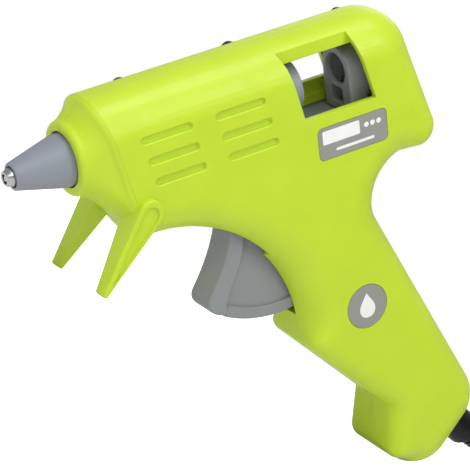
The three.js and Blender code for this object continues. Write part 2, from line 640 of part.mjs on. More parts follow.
// the gun stands on its feet and butt, with the origin in the middle of what it covers
const stand = new THREE.Group();
stand.add(gun);
gun.rotation.y = -TILT;
stand.updateMatrixWorld(true);
const covered = new THREE.Box3();
for (const mesh of gun.children) {
  if (mesh.name !== 'strain_relief') {
    covered.expandByObject(mesh, true);
  }
}
const middle = covered.getCenter(new THREE.Vector3());
gun.position.set(-middle.x, 0, -covered.min.z);

// ---------------------------------------------------------------- the cord on the ground
// folded into a hank in line with the gun: straight runs with round ends, tied round, under its plug
const HANK = { x: 187.5, run: 62.7, inner: 15, outer: 20, bottom: 0.9, layers: 3 };
const HANK_TOP = HANK.bottom + HANK.layers * 2 * CORD_R;
const TO_HANK = [[130.3, 0, 15.6], [138, 0, 14.7], [146, -2.6, 10.6], [154, -7.4, 6.4], [162, -12.4, 3.6],
  [170, -16.6, 2.8], [178, -19, 3], [187.5, -20, 3.4]];
const FROM_HANK = [[187.5, -15, 13.4], [193, -14.7, 13.7], [199, -13, 15.2], [205, -10.2, 17.7],
  [211, -7.2, 20.5], [216, -5.5, 22.2], [220.5, -5, 22.9]];
const PLUG = { rear: 221, body: 231, face: 257, tips: 276, y: -5, z: 22.9, pinGap: 9.3 };
const TIE = { x: 187, width: 4.5, thick: 0.55 };

// the hank's outline on the ground, wider by grow
function hankOutline(grow) {
  const outline = (radius) => slotShape(HANK.x, 0, HANK.x + HANK.run, 0, radius);
  const shape = outline(HANK.outer + CORD_R + grow);
  shape.holes.push(outline(HANK.inner - CORD_R - grow));
  return shape;
}

function onGround(shape, z0, z1) {
  const settings = { depth: z1 - z0, bevelEnabled: false, curveSegments: 10 };
  const geometry = new THREE.ExtrudeGeometry(shape, settings);
  geometry.translate(0, 0, z0);
  return toManifold(geometry);
}

// a free stretch of the cord, stopping short of the hank
function freeCord(places) {
  const route = places.map((place) => new THREE.Vector3(...place));
  return tube(route, CORD_R, 22, 10)
    .subtract(onGround(hankOutline(GAP), HANK.bottom - GAP, HANK_TOP + GAP));
}

function cordTie() {
  const half = HANK.outer + CORD_R + GAP;
  const ring = (grow) => roundedBox(0, (HANK.bottom + HANK_TOP) / 2,
    2 * (half + grow), HANK_TOP - HANK.bottom + 2 * (GAP + grow), 0.2 + grow);
  const shape = ring(TIE.thick);
  shape.holes.push(ring(0));
  return bandAlong(shape, TIE.x, TIE.x + TIE.width);
}

// a flat two-pin plug lying on the hank
function plugBody() {
  const layers = [
    [PLUG.rear, 3.4, 3.4], [PLUG.rear + 1, 3.8, 3.8], [PLUG.body - 1, 4.6, 4.6],
    [PLUG.body, 8, 5], [PLUG.body + 4, 10.5, 5.6], [PLUG.face - 10, 15.6, 6.2],
    [PLUG.face - 3, 17.4, 6.7], [PLUG.face - 0.8, 17.6, 6.8],
    [PLUG.face, 17, 6.2]];
  const rings = layers.map(([x, halfWidth, halfHeight]) => Array.from({ length: 24 }, (_, i) => {
    const angle = (i / 24) * Math.PI * 2;
    const bulge = (value) => Math.sign(value) * Math.sqrt(Math.abs(value));
    return new THREE.Vector3(
      x, PLUG.y + halfWidth * bulge(Math.cos(angle)), PLUG.z + halfHeight * bulge(Math.sin(angle)));
  }));
  return loft(rings, (p) => new THREE.Vector2(p.y, p.z));
}

function plugPin(side) {
  const base = PLUG.face + GAP;
  const pin = turned([[base, 0], [base, 2], [PLUG.tips - 1, 2], [PLUG.tips, 1.1], [PLUG.tips, 0]], 12);
  return pin.translate([0, PLUG.y + side * PLUG.pinGap, PLUG.z]);
}

add(stand, 'mains_cord', freeCord(TO_HANK), BLACK);
add(stand, 'cord_hank', onGround(hankOutline(0), HANK.bottom, HANK_TOP), BLACK);
add(stand, 'cord_end', freeCord(FROM_HANK), BLACK);
add(stand, 'cord_tie', cordTie(), BLACK);
add(stand, 'plug_body', plugBody(), BLACK);
[-1, 1].forEach((side, i) => add(stand, `plug_pin_${i + 1}`, plugPin(side), STEEL));

export default stand;
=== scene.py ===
"""A small mains glue gun with its lead, made as an add-on with one operator for each piece or group."""
import json
import math

import bmesh
import bpy
from mathutils import Matrix, Vector


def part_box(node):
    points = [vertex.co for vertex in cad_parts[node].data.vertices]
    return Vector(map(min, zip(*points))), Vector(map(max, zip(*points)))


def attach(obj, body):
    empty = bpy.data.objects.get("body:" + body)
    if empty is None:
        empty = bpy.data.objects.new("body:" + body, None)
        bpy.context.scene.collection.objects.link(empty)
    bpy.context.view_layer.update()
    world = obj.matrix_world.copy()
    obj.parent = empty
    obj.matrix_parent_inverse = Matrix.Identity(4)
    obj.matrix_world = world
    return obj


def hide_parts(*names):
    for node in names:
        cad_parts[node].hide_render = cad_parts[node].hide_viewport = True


bl_info = {
    "name": "Glue Gun",
    "version": (1, 0, 0),
    "blender": (4, 5, 0),
    "location": "View3D > Sidebar > Glue Gun",
    "description": "Makes a small mains glue gun, its lead and a plain studio",
    "category": "Add Mesh",
}

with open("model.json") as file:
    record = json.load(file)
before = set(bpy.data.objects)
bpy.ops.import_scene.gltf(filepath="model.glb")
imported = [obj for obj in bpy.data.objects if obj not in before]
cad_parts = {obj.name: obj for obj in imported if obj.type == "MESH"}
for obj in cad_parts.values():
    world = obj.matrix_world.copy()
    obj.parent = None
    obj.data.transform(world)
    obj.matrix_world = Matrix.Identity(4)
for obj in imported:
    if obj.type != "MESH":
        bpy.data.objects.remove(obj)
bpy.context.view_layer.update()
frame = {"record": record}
JOINTS = {joint["name"]: joint for joint in frame["record"]["behaviour"]["joints"]}

# ---------------------------------------------------------------- the barrel's own frame, in millimetres
# X runs rearward along the nozzle axis, Z is up across the barrel, and -Y is the left side.
PIVOT = (61.0, -30.6)
SLIDE = Vector(JOINTS["feed_slide"]["axis"])
TILT = math.atan2(-SLIDE.z, -SLIDE.x)
TURN = Matrix.Rotation(-TILT, 4, "Y")
PIVOT_PLACE = Vector(JOINTS["trigger_pull"]["pos_m"])
PLACE = (
    Matrix.Translation(PIVOT_PLACE)
    @ TURN
    @ Matrix.Scale(0.001, 4)
    @ Matrix.Translation((-PIVOT[0], 0, -PIVOT[1]))
)
MM = Matrix.Scale(0.001, 4)

WALL = 1.8
HALF_WIDTH = 13.5
EDGE = 12.5
SEAM = 0.03
TOP = 16.6
RAKE = 0.218
RIM_X = 8.9
COLLAR_X, COLLAR_R, COLLAR_BORE = -0.6, 11.2, 8.3
CORD_R = 2.5
CORD_EXIT = (119.0, -126.1)
EXIT_TURN = math.radians(50)
SCREWS = ((25.4, 10.7), (62, 11), (99.8, 10.7), (31, -21.5), (111, -19), (85, -68), (99.6, -112.6))
HEAD_R, HEAD_HEIGHT = 2.8, 1.2
POST_R = 2.6
PIN_BORE, JAW_BORE = 1.8, 1.1
PLATE_GAP, PLATE_RECESS = 0.12, 0.8  # round the label and the badge

# side outline of the housing: corner x, z, corner radius, edge rounding
OUTLINE = (
    (-16, TOP, 13.5, EDGE),
    (109.9, TOP, 14.5, EDGE),
    (118.4, -26.8, 7, 6.5),
    (90.8, -33.9, 13, EDGE),
    (127.7, -118.8, 12, 11),
    (104, -138.7, 11.3, 10.5),
    (90.2, -125.4, 4.5, 4.5),
    (92.8, -109.7, 2, 6),
    (66.2, -79.6, 5, 4.6),
    (64.4, -28.9, 47, 10),
    (-16, -27.2, 13.5, EDGE),
)
WINDOW = ((67.1, 10.4), (90.8, 10.4), (95.1, -6.4), (70.7, -6.4))
STRIP_Y = 8.2
LABEL = (86.1, -15.4, 23.8, 10.0, 1.6)
BADGE = (85.5, -71.1, 6.95)
FEED_FRONT, FEED_REAR, FEED_HALF = 90.4, 102.5, 7.2
GUIDE_TOP = -13.3
ARM = 11.6
DRIVE = (PIVOT[0], PIVOT[1] + ARM)
JAW = (97.3, -7.6)
RIM_R = 37.4


# ---------------------------------------------------------------- settings
def colour(name, description, value):
    """A colour setting."""
    return bpy.props.FloatVectorProperty(name=name, description=description, subtype="COLOR", size=3,
                                         min=0, max=1, default=value)


class FinishSettings(bpy.types.PropertyGroup):
    """Colours and surface of the moulded pieces"""

    housing: colour("Housing", "Colour of the two housing halves", (0.50, 0.665, 0.022))
    nozzle: colour("Nozzle", "Colour of the nozzle's insulating sleeve", (0.235, 0.255, 0.30))
    trigger: colour("Trigger", "Colour of the trigger and the feed carriage", (0.25, 0.262, 0.278))
    label: colour("Label", "Colour of the side label and the handle badge", (0.275, 0.275, 0.245))
    edge: bpy.props.FloatProperty(
        name="Edge", description="Rounding that shows along moulded edges", unit="LENGTH",
        min=0, max=0.002, default=0.00035)


class CordSettings(bpy.types.PropertyGroup):
    """The mains lead"""

    length: bpy.props.FloatProperty(
        name="Length", description="Length of the lead from strain relief to plug", unit="LENGTH",
        min=0.5, max=3, default=1.5)
    diameter: bpy.props.FloatProperty(
        name="Diameter", description="Diameter of the lead's sheath", unit="LENGTH",
        min=0.003, max=0.009, default=2 * CORD_R / 1000)


class StageSettings(bpy.types.PropertyGroup):
    """The camera and the lights"""

    azimuth: bpy.props.FloatProperty(
        name="Azimuth", description="Way round the gun that the camera stands", subtype="ANGLE",
        default=math.radians(-37.63))
    roll: bpy.props.FloatProperty(
        name="Roll", description="Turn of the camera about its own view", subtype="ANGLE",
        default=math.radians(30.8))
    distance: bpy.props.FloatProperty(
        name="Distance", description="From the camera to what it looks at", unit="LENGTH", default=0.7778)
    lens: bpy.props.FloatProperty(
        name="Lens", description="Focal length in millimetres", min=20, max=400, default=214.5)
    light: bpy.props.FloatProperty(
        name="Light", description="Strength of all lights together", min=0, max=5, default=1.0)


# ---------------------------------------------------------------- mesh tools
def arc(cx, cz, radius, start, end, steps):
    """Points of an arc, angles in degrees."""
    return [
        (cx + radius * math.cos(math.radians(start + (end - start) * i / steps)),
         cz + radius * math.sin(math.radians(start + (end - start) * i / steps)))
        for i in range(steps + 1)
    ]


def slot_points(x0, z0, x1, z1, radius, steps=16):
    """A slot with round ends from one centre to the other."""
    along = math.degrees(math.atan2(z1 - z0, x1 - x0))
    return (arc(x1, z1, radius, along - 90, along + 90, steps)
            + arc(x0, z0, radius, along + 90, along + 270, steps))


def box_points(cx, cz, width, height, radius, steps=6):
    """A rectangle with round corners."""
    points = []
    for sx, sz, start in ((1, -1, -90), (1, 1, 0), (-1, 1, 90), (-1, -1, 180)):
        points += arc(cx + sx * (width / 2 - radius), cz + sz * (height / 2 - radius), radius,
                      start, start + 90, steps)
    return points


def bezier(start, *curves, steps=10):
    """Points along cubic curves, each given by two handles and an end."""
    points = [start]
    for first, second, end in curves:
        origin = points[-1]
        for i in range(1, steps + 1):
            t = i / steps
            points.append(tuple(
                (1 - t) ** 3 * a + 3 * (1 - t) ** 2 * t * b + 3 * (1 - t) * t * t * c + t ** 3 * d
                for a, b, c, d in zip(origin, first, second, end)))
    return points


def linked(name, data):
    """A new scene object with that data."""
    made = bpy.data.objects.new(name, data)
    bpy.context.scene.collection.objects.link(made)
    return made


def to_object(name, bm):
    """A new scene object from a bmesh, with its faces pointing out."""
    bmesh.ops.remove_doubles(bm, verts=bm.verts, dist=1e-4)
    bmesh.ops.recalc_face_normals(bm, faces=bm.faces)
    if bm.calc_volume(signed=True) < 0:
        bmesh.ops.reverse_faces(bm, faces=bm.faces)
    mesh = bpy.data.meshes.new(name)
    bm.to_mesh(mesh)
    bm.free()
    return linked(name, mesh)


def skinned(name, rings, capped=True, closed=False):
    """Skin over a stack of closed rings of points."""
    bm = bmesh.new()
    rows = [[bm.verts.new(point) for point in ring] for ring in rings]
    pairs = list(zip(rows, rows[1:])) + ([(rows[-1], rows[0])] if closed else [])
    for low, high in pairs:
        for i in range(len(low)):
            j = (i + 1) % len(low)
            bm.faces.new((low[i], low[j], high[j], high[i]))
    if capped and not closed:
        bm.faces.new(list(reversed(rows[0])))
        bm.faces.new(rows[-1])
    return to_object(name, bm)


def prism(name, points, y0, y1):
    """A side outline with thickness."""
    return skinned(name, [[(x, y, z) for x, z in points] for y in (y0, y1)])


def along_x(name, outline, x0, x1):
    """An outline in Y and Z with length along X."""
    return skinned(name, [[(x, y, z) for y, z in outline] for x in (x0, x1)])


def block(name, x0, x1, y0, y1, z0, z1):
    return prism(name, [(x0, z0), (x1, z0), (x1, z1), (x0, z1)], y0, y1)


def cross_bar(name, x, z, radius, y0, y1, steps=32):
    """A round bar across the gun."""
    return prism(name, arc(x, z, radius, 0, 360 - 360 / steps, steps - 1), y0, y1)


def turned(name, profile, sides=72):
    """A piece turned about X from (x, radius) points that close on themselves or end on the axis."""
    on_axis = profile[0][1] == 0
    rings = []
    for x, radius in profile:
        rings.append([(x, max(radius, 1e-6) * math.cos(2 * math.pi * i / sides),
                       max(radius, 1e-6) * math.sin(2 * math.pi * i / sides)) for i in range(sides)])
    return skinned(name, rings, capped=False, closed=not on_axis)


def round_hole(name, x0, x1, radius):
    """A tool for a straight hole along X."""
    return turned(name, [(x0, 0), (x0, radius), (x1, radius), (x1, 0)])


def along_exit(piece):
    """Puts a piece turned about X on the cord's way out of the butt."""
    piece.data.transform(Matrix.Translation((CORD_EXIT[0], 0, CORD_EXIT[1]))
                         @ Matrix.Rotation(EXIT_TURN, 4, "Y"))
    return piece


def settled(piece):
    """Applies a piece's modifiers."""
    graph = bpy.context.evaluated_depsgraph_get()
    mesh = bpy.data.meshes.new_from_object(piece.evaluated_get(graph))
    piece.modifiers.clear()
    old = piece.data
    piece.data = mesh
    bpy.data.meshes.remove(old)
    return piece


def bevelled(piece, width, segments=3, angle=30):
    """Rounds a piece's sharp edges."""
    bevel = piece.modifiers.new("Edges", "BEVEL")
    bevel.width = width
    bevel.segments = segments
    bevel.limit_method = "ANGLE"
    bevel.angle_limit = math.radians(angle)
    bevel.harden_normals = False
    return settled(piece)


def combined(piece, operation, *tools):
    """Joins tools to a piece, cuts them from it or keeps what they share."""
    for tool in tools:
        step = piece.modifiers.new(tool.name, "BOOLEAN")
        step.operation = operation
        step.solver = "MANIFOLD"
        step.object = tool
        settled(piece)
        bpy.data.objects.remove(tool, do_unlink=True)
    return piece


def joined(piece, *tools):
    return combined(piece, "UNION", *tools)


def cut(piece, *tools):
    return combined(piece, "DIFFERENCE", *tools)


def shared(piece, *tools):
    return combined(piece, "INTERSECT", *tools)


def mirrored(piece):
    """Turns a right-hand piece into the left-hand one."""
    piece.data.transform(Matrix.Scale(-1, 4, (0, 1, 0)))
    piece.data.flip_normals()
    return piece


def finished(piece, look, nodes=(), body="housing", place=PLACE, sharp=34):
    """Places a piece, smooths it, gives it its look and ties it to its body."""
    piece.data.transform(place)
    piece.data.shade_smooth()
    piece.data.set_sharp_from_angle(angle=math.radians(sharp))
    weighted = piece.modifiers.new("Normals", "WEIGHTED_NORMAL")
    weighted.keep_sharp = True
    settled(piece)
    piece.data.materials.clear()
    piece.data.materials.append(finish(look))
    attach(piece, body)
    if nodes:
        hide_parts(*nodes)
    return piece


def finer_copy(node, look, width, body="housing"):
    """A CAD piece with its flat faces cleared of seams and its edges rounded."""
    bm = bmesh.new()
    bm.from_mesh(bpy.data.objects[node].data)
    bmesh.ops.remove_doubles(bm, verts=bm.verts, dist=1e-7)
    bmesh.ops.dissolve_limit(bm, angle_limit=math.radians(0.5), verts=bm.verts, edges=bm.edges)
    mesh = bpy.data.meshes.new(node + "_fine")
    bm.to_mesh(mesh)
    bm.free()
    piece = linked(node + "_fine", mesh)
    bevelled(piece, width / 1000, 2, 40)
    return finished(piece, look, [node], body, place=Matrix.Identity(4))


# ---------------------------------------------------------------- finishes
def adjusted(node, values):
    """Sets a node's inputs by name."""
    for socket, value in values.items():
        node.inputs[socket].default_value = value
    return node


def level_by_ray(tree, lighting, seen):
    """A strength that lights the gun at one level and is seen by the camera at another."""
    path = tree.nodes.new("ShaderNodeLightPath")
    level = adjusted(tree.nodes.new("ShaderNodeMapRange"), {"To Min": lighting, "To Max": seen})
    tree.links.new(path.outputs["Is Camera Ray"], level.inputs["Value"])
    return level.outputs["Result"]


class Nodes:
    """Adds nodes to a material and links them."""

    def __init__(self, name):
        self.material = bpy.data.materials.new(name)
        self.material.use_nodes = True
        self.tree = self.material.node_tree
        self.shader = self.tree.nodes["Principled BSDF"]
        self.places = self.add("ShaderNodeTexCoord").outputs["Object"]

    def add(self, kind, **values):
        node = self.tree.nodes.new(kind)
        for key, value in values.items():
            setattr(node, key, value)
        return node

    def link(self, output, node, socket):
        self.tree.links.new(output, node.inputs[socket])

    def noise(self, scale, detail=3.0, stretch=None):
        """Noise over the piece, drawn out along one axis if asked."""
        node = adjusted(self.add("ShaderNodeTexNoise"), {"Scale": scale, "Detail": detail})
        source = self.places
        if stretch:
            mapping = adjusted(self.add("ShaderNodeMapping"), {"Scale": stretch})
            self.link(source, mapping, "Vector")
            source = mapping.outputs["Vector"]
        self.link(source, node, "Vector")
        return node.outputs["Fac"]

    def spread(self, value, low, high):
        """Maps a noise onto a range."""
        node = adjusted(self.add("ShaderNodeMapRange"),
                        {"From Min": 0.3, "From Max": 0.7, "To Min": low, "To Max": high})
        self.link(value, node, "Value")
        return node.outputs["Result"]

    def tinted(self, colour, value, depth):
        """Colour that lightens and darkens with a noise."""
        mix = adjusted(self.add("ShaderNodeMix", data_type="RGBA"), {
            "A": (*[c * (1 - depth) for c in colour], 1),
            "B": (*[min(1, c * (1 + depth)) for c in colour], 1)})
        self.link(self.spread(value, 0, 1), mix, "Factor")
        self.link(mix.outputs["Result"], self.shader, "Base Color")

    def bump(self, value, depth, edge=0.0):
        """Fine relief, over edges rounded by a bevel."""
        node = adjusted(self.add("ShaderNodeBump"), {"Strength": 1.0, "Distance": depth})
        self.link(value, node, "Height")
        if edge:
            bevel = adjusted(self.add("ShaderNodeBevel", samples=6), {"Radius": edge})
            self.link(bevel.outputs["Normal"], node, "Normal")
        self.link(node.outputs["Normal"], self.shader, "Normal")

    def roughness(self, value, low, high):
        self.link(self.spread(value, low, high), self.shader, "Roughness")


def moulded_plastic(name, colour, roughness=0.42, edge=0.0, grain=0.000012, level=0.45):
    """Satin injection-moulded plastic with a fine spark-eroded grain."""
    made = Nodes(name)
    made.tinted(colour, made.noise(70, 2), 0.025)
    made.roughness(made.noise(220, 3), roughness - 0.04, roughness + 0.05)
    made.bump(made.noise(2600, 4), grain, edge)
    made.shader.inputs["Specular IOR Level"].default_value = level
    return made.material


def sheath_rubber(name, colour=(0.005, 0.005, 0.0055)):
    """Matt black flexible sheath."""
    made = Nodes(name)
    made.tinted(colour, made.noise(300, 3), 0.12)
    made.roughness(made.noise(900, 3), 0.48, 0.62)
    made.bump(made.noise(5200, 4), 0.00002)
    return made.material


def worked_metal(name, colour, roughness, stretch, depth=0.000006):
    """Metal with fine marks along one way."""
    made = Nodes(name)
    made.tinted(colour, made.noise(180, 3), 0.06)
    made.shader.inputs["Metallic"].default_value = 1.0
    marks = made.noise(900, 4, stretch)
    made.roughness(marks, roughness - 0.06, roughness + 0.1)
    made.bump(marks, depth)
    return made.material


def fired_ceramic(name):
    """Rough dark ceramic."""
    made = Nodes(name)
    made.tinted((0.11, 0.10, 0.09), made.noise(900, 5), 0.25)
    made.roughness(made.noise(1500, 4), 0.7, 0.9)
    made.bump(made.noise(3000, 5), 0.00004)
    return made.material


def clear_film(name):
    """Amber insulating film."""
    made = Nodes(name)
    made.tinted((0.42, 0.18, 0.03), made.noise(200, 2), 0.1)
    made.roughness(made.noise(500, 2), 0.18, 0.3)
    made.bump(made.noise(260, 2), 0.00003)
    return made.material


# slot, maker, material name, then what the maker takes; a word among these is a finish setting
LOOKS = {
    "housing": ("housing_plastic", moulded_plastic, "housing lime", "housing", 0.40, "edge"),
    "nozzle": ("nozzle_plastic", moulded_plastic, "nozzle blue grey", "nozzle", 0.42, "edge"),
    "trigger": ("moving_plastic", moulded_plastic, "trigger grey", "trigger", 0.42, "edge"),
    "label": ("label_plastic", moulded_plastic, "label grey", "label", 0.45, 0.0, 0.000004),
    "print": ("label_plastic", moulded_plastic, "print white", (0.82, 0.82, 0.80), 0.5, 0.0, 0.000003),
    "rubber": ("cord_rubber", sheath_rubber, "sheath black"),
    "black": ("clamp_plastic", moulded_plastic, "moulded black", (0.0025, 0.0025, 0.003), 0.3, 0.0002,
              0.000012, 0.22),
    "steel": ("bright_steel", worked_metal, "bright steel", (0.50, 0.50, 0.51), 0.24, (1, 1, 8)),
    "dark_steel": ("dark_steel", worked_metal, "blackened steel", (0.07, 0.07, 0.075), 0.34, (1, 6, 1)),
    "aluminium": ("chamber_aluminium", worked_metal, "cast aluminium", (0.56, 0.56, 0.57), 0.48, (1, 1, 1),
                  0.00003),
    "brass": ("brass", worked_metal, "stamped brass", (0.56, 0.41, 0.16), 0.3, (6, 1, 1)),
    "ceramic": ("ceramic", fired_ceramic, "heater ceramic"),
    "film": ("amber_film", clear_film, "amber film"),
    "brown": ("live_insulation", moulded_plastic, "brown insulation", (0.13, 0.045, 0.018), 0.35, 0.0,
              0.000004),
    "blue": ("neutral_insulation", moulded_plastic, "blue insulation", (0.02, 0.075, 0.25), 0.35, 0.0,
             0.000004),
}
MADE = {}


def finish(look):
    """The material of that look, made once."""
    if look not in MADE:
        settings = bpy.context.scene.gun_finish
        maker, name, *values = LOOKS[look][1:]
        MADE[look] = maker(name, *(getattr(settings, v) if isinstance(v, str) else v for v in values))
    return MADE[look]


# ---------------------------------------------------------------- housing
def outline_points(inset, step_degrees):
    """Points of the housing's side outline with their outward normals and edge rounding."""
    points = []
    count = len(OUTLINE)
    for i, (x, z, radius, edge) in enumerate(OUTLINE):
        here = Vector((x, z))
        before = Vector(OUTLINE[i - 1][:2])
        after = Vector(OUTLINE[(i + 1) % count][:2])
        way = (here - before).normalized()
        following = (after - here).normalized()
        turn = math.atan2(way.x * following.y - way.y * following.x, way.dot(following))
        side = 1 if turn < 0 else -1
        first = Vector((-way.y, way.x))
        reach = radius * math.tan(abs(turn) / 2)
        centre = here - way * reach - first * (side * radius)
        steps = max(2, round(math.degrees(abs(turn)) / step_degrees))
        for step in range(steps + 1):
            angle = turn * step / steps
            normal = Vector((first.x * math.cos(angle) - first.y * math.sin(angle),
                             first.x * math.sin(angle) + first.y * math.cos(angle)))
            points.append((centre + normal * (side * radius - inset), normal, max(edge - inset, 0.5)))
    return points


def pillow(name, inset, y0, layers, step_degrees):
    """Half of the housing's form, from y0 out to its side, with round long edges."""
    points = outline_points(inset, step_degrees)
    side = HALF_WIDTH - inset
    rings = [[(at.x, y0, at.y) for at, _, _ in points]]
    for layer in range(layers + 1):
        angle = layer / layers * math.pi / 2
        rings.append([
            (at.x - normal.x * edge * (1 - math.cos(angle)), side - edge * (1 - math.sin(angle)),
             at.y - normal.y * edge * (1 - math.cos(angle)))
            for at, normal, edge in points])
    return skinned(name, rings)


def behind_rake(x):
    """Everything behind the raked plane that meets the nozzle axis at x."""
    far = 60
    return prism("behind rake", [(x - RAKE * far, far), (200, far), (200, -160), (x + RAKE * far, -160),
                                 (x + RAKE * far, -far)], -40, 40)


def nose_ring(x, shrink, steps):
    ring = []
    bottom = -27.7
    edge = EDGE - shrink
    for sy, sz, start in ((1, 1, 0), (-1, 1, 90), (-1, -1, 180), (1, -1, 270)):
        cy = sy * (HALF_WIDTH - EDGE)
        cz = TOP - EDGE if sz > 0 else bottom + EDGE
        for y, z in arc(cy, cz, edge, start, start + 90, steps):
            ring.append(Vector((x - RAKE * z, y, z)))
    return ring


def collar_ring(x, radius, steps):
    ring = []
    for quadrant in range(4):
        for y, z in arc(0, 0, radius, quadrant * 90 + 3, quadrant * 90 + 87, steps):
            ring.append(Vector((x, y, z)))
    return ring


def nose_form():
    """The nose: a soft rim, a hollow slope and the collar round the nozzle."""
    steps = 14
    rings = [nose_ring(RIM_X + 6, 0.4, steps), nose_ring(RIM_X + 2.6, 0.05, steps)]
    round_radius, round_end = 2.6, 50
    for i in range(7):
        angle = math.radians(round_end * i / 6)
        rings.append(nose_ring(RIM_X + round_radius * (math.sin(math.radians(round_end)) - math.sin(angle)),
                               0.05 + round_radius * (1 - math.cos(angle)), steps))
    rim = rings[-1]
    neck = collar_ring(COLLAR_X + 1.8, COLLAR_R, steps)
    for i in range(1, 17):
        share = i / 16
        inward = share * (1.42 - 0.42 * share)
        forward = share ** 1.15
        rings.append([
            Vector((a.x + (b.x - a.x) * forward, a.y + (b.y - a.y) * inward, a.z + (b.z - a.z) * inward))
            for a, b in zip(rim, neck)])
    for i in range(1, 7):
        angle = math.radians(90 * i / 6)
        rings.append(collar_ring(COLLAR_X + 1.8 * (1 - math.sin(angle)),
                                 COLLAR_R - 1.2 * (1 - math.cos(angle)), steps))
    return skinned("nose", rings)


def leg_form():
    """A front foot: an outward-leaning leg with a recessed channel down its outer face."""
    outer, foot_inner, root_inner, root_z, foot_z = 15.5, 10.6, 7.6, -22.0, -37.4
    outline = [(-1.75, -36.9), (-0.6, -38.0), (19.6, -20.6)] + arc(16.9, -17.5, 4.1, -48, 144, 20)[1:]

    def inner(z):
        return root_inner + (foot_inner - root_inner) * (z - root_z) / (foot_z - root_z)

    leg = skinned("leg", [[(x, inner(z), z) for x, z in outline], [(x, outer, z) for x, z in outline]])
    bevelled(leg, 0.6, 4, 40)
    channel = [(1.5, -35.0), (17.9, -19.9)] + arc(16.7, -17.8, 2.4, -48, 144, 16)[1:]
    groove = prism("leg channel", channel, outer - 0.6, outer + 1)
    return cut(leg, bevelled(groove, 0.35, 3, 40))


def vent(x, z):
    """One shallow vent with a soft lip."""
    layers = ((-1.15, 0.45), (-1.12, 0.75), (-0.95, 0.95), (-0.4, 1.1), (-0.16, 1.2), (-0.05, 1.36),
              (0.02, 1.56), (1.5, 3.2))
    return skinned("vent", [[(px, HALF_WIDTH + y, pz) for px, pz in slot_points(x + 1.35, z, x + 15.7, z, r)]
                            for y, r in layers])


def saddle(x0, x1, radius, z0, z1):
    rib = block("saddle", x0, x1, SEAM, HALF_WIDTH, z0, z1)
    return cut(rib, round_hole("bore", x0 - 1, x1 + 1, radius))


def housing_half(is_screw_side):
    """A housing half on the +Y side."""
    form = shared(pillow("form", 0, SEAM, 12, 3), behind_rake(RIM_X + 1.8))
    nose = shared(nose_form(), block("half", -20, 40, SEAM, 30, -60, 40))
    form = joined(form, nose)
    cavity = shared(pillow("cavity", WALL, SEAM - 1, 8, 6), behind_rake(RIM_X + 4))
    ribs = joined(
        saddle(22, 24, 7.3, -8, 15),
        saddle(59, 61, 7.3, -8, 15),
        saddle(65.5, 67, 8.5, -12.5, 15),
        cross_bar("boss", *PIVOT, 4, 5.6, HALF_WIDTH),
        block("strip rib", 62.5, 93.5, 6.4, STRIP_Y, 10.4, 15.2),
        block("ledge", 72, 104, 9.3, 12.5, -17.4, -15.2),
        block("keeper", 72, 104, 10, 12.5, -13, -10.2),
        *[cross_bar("post", x, z, POST_R, SEAM, HALF_WIDTH) for x, z in SCREWS])
    shared(ribs, linked("form copy", form.data.copy()))
    leg = cut(leg_form(), linked("cavity copy", cavity.data.copy()))
    half = joined(cut(form, cavity), ribs, leg)
    cut(
        half,
        bevelled(prism("window", WINDOW, -1, 30), 0.5, 3),
        prism("strip", [(64.7, 18), (88.6, 18), (90.8, 10.3), (67.1, 10.3)], STRIP_Y, 30),
        prism("trigger slot", [(40.5, -26), (56, -26), (63, -44), (70, -60), (70, -70.2), (58, -70.2),
                               (46, -56), (36, -40)], -1, 4.6),
        prism("blade pocket", [(38, -27), (52, -27), (58, -46), (52, -52), (36, -40)], -1, 7.2),
        along_exit(round_hole("cord hole", -12, 14, 4.9)),
        turned("nozzle bore", [(-10, 0), (-10, COLLAR_BORE), (12.7, COLLAR_BORE), (12.7, 9.9), (18, 9.9),
                               (18, 0)]),
        round_hole("stick bore", 104, 130, 4.6),
        cross_bar("pin seat", *PIVOT, PIN_BORE, -1, 11.4),
        *[vent(start + row * 1.45, 3.7 - row * 6.65) for start in (17.2, 41.4) for row in range(3)])
    for x, z in SCREWS:
        seat = 10.6 if z > 0 else HALF_WIDTH - 1.6
        if is_screw_side:
            cut(half, cross_bar("clearance", x, z, 1.75, -1, 20),
                cross_bar("seat", x, z, HEAD_R + 0.3, seat, 20, 48))
        else:
            cut(half, cross_bar("pilot", x, z, 1.6, -1, 8))
    if not is_screw_side:
        x, z, width, height, radius = LABEL
        cut(half,
            prism("label recess",
                  box_points(x, z, width + 2 * PLATE_GAP, height + 2 * PLATE_GAP, radius + PLATE_GAP),
                  HALF_WIDTH - PLATE_RECESS, 40),
            cross_bar("badge recess", BADGE[0], BADGE[1], BADGE[2] + PLATE_GAP,
                      HALF_WIDTH - PLATE_RECESS, 40, 72))
        mirrored(half)
    return half


class GUN_OT_housing(bpy.types.Operator):
    """Make the two housing halves with their feet, vents and window"""

    bl_idname = "gun.housing"
    bl_label = "Housing"

    def execute(self, context):
        left = housing_half(False)
        posts = []
        for across in (-5.4, 5.4):
            x = CORD_EXIT[0] - 9.4 * math.cos(EXIT_TURN) + across * math.sin(EXIT_TURN)
            z = CORD_EXIT[1] + 9.4 * math.sin(EXIT_TURN) + across * math.cos(EXIT_TURN)
            posts.append(cut(cross_bar("clamp post", x, z, POST_R, -12.6, 2.6),
                             cross_bar("hole", x, z, 1.5, -6, 4)))
        joined(left, *posts)
        for name, half in (("left_shell", left), ("right_shell", housing_half(True))):
            half.name = name
            finished(half, "housing", [name.replace("shell", "housing")])
        return {"FINISHED"}


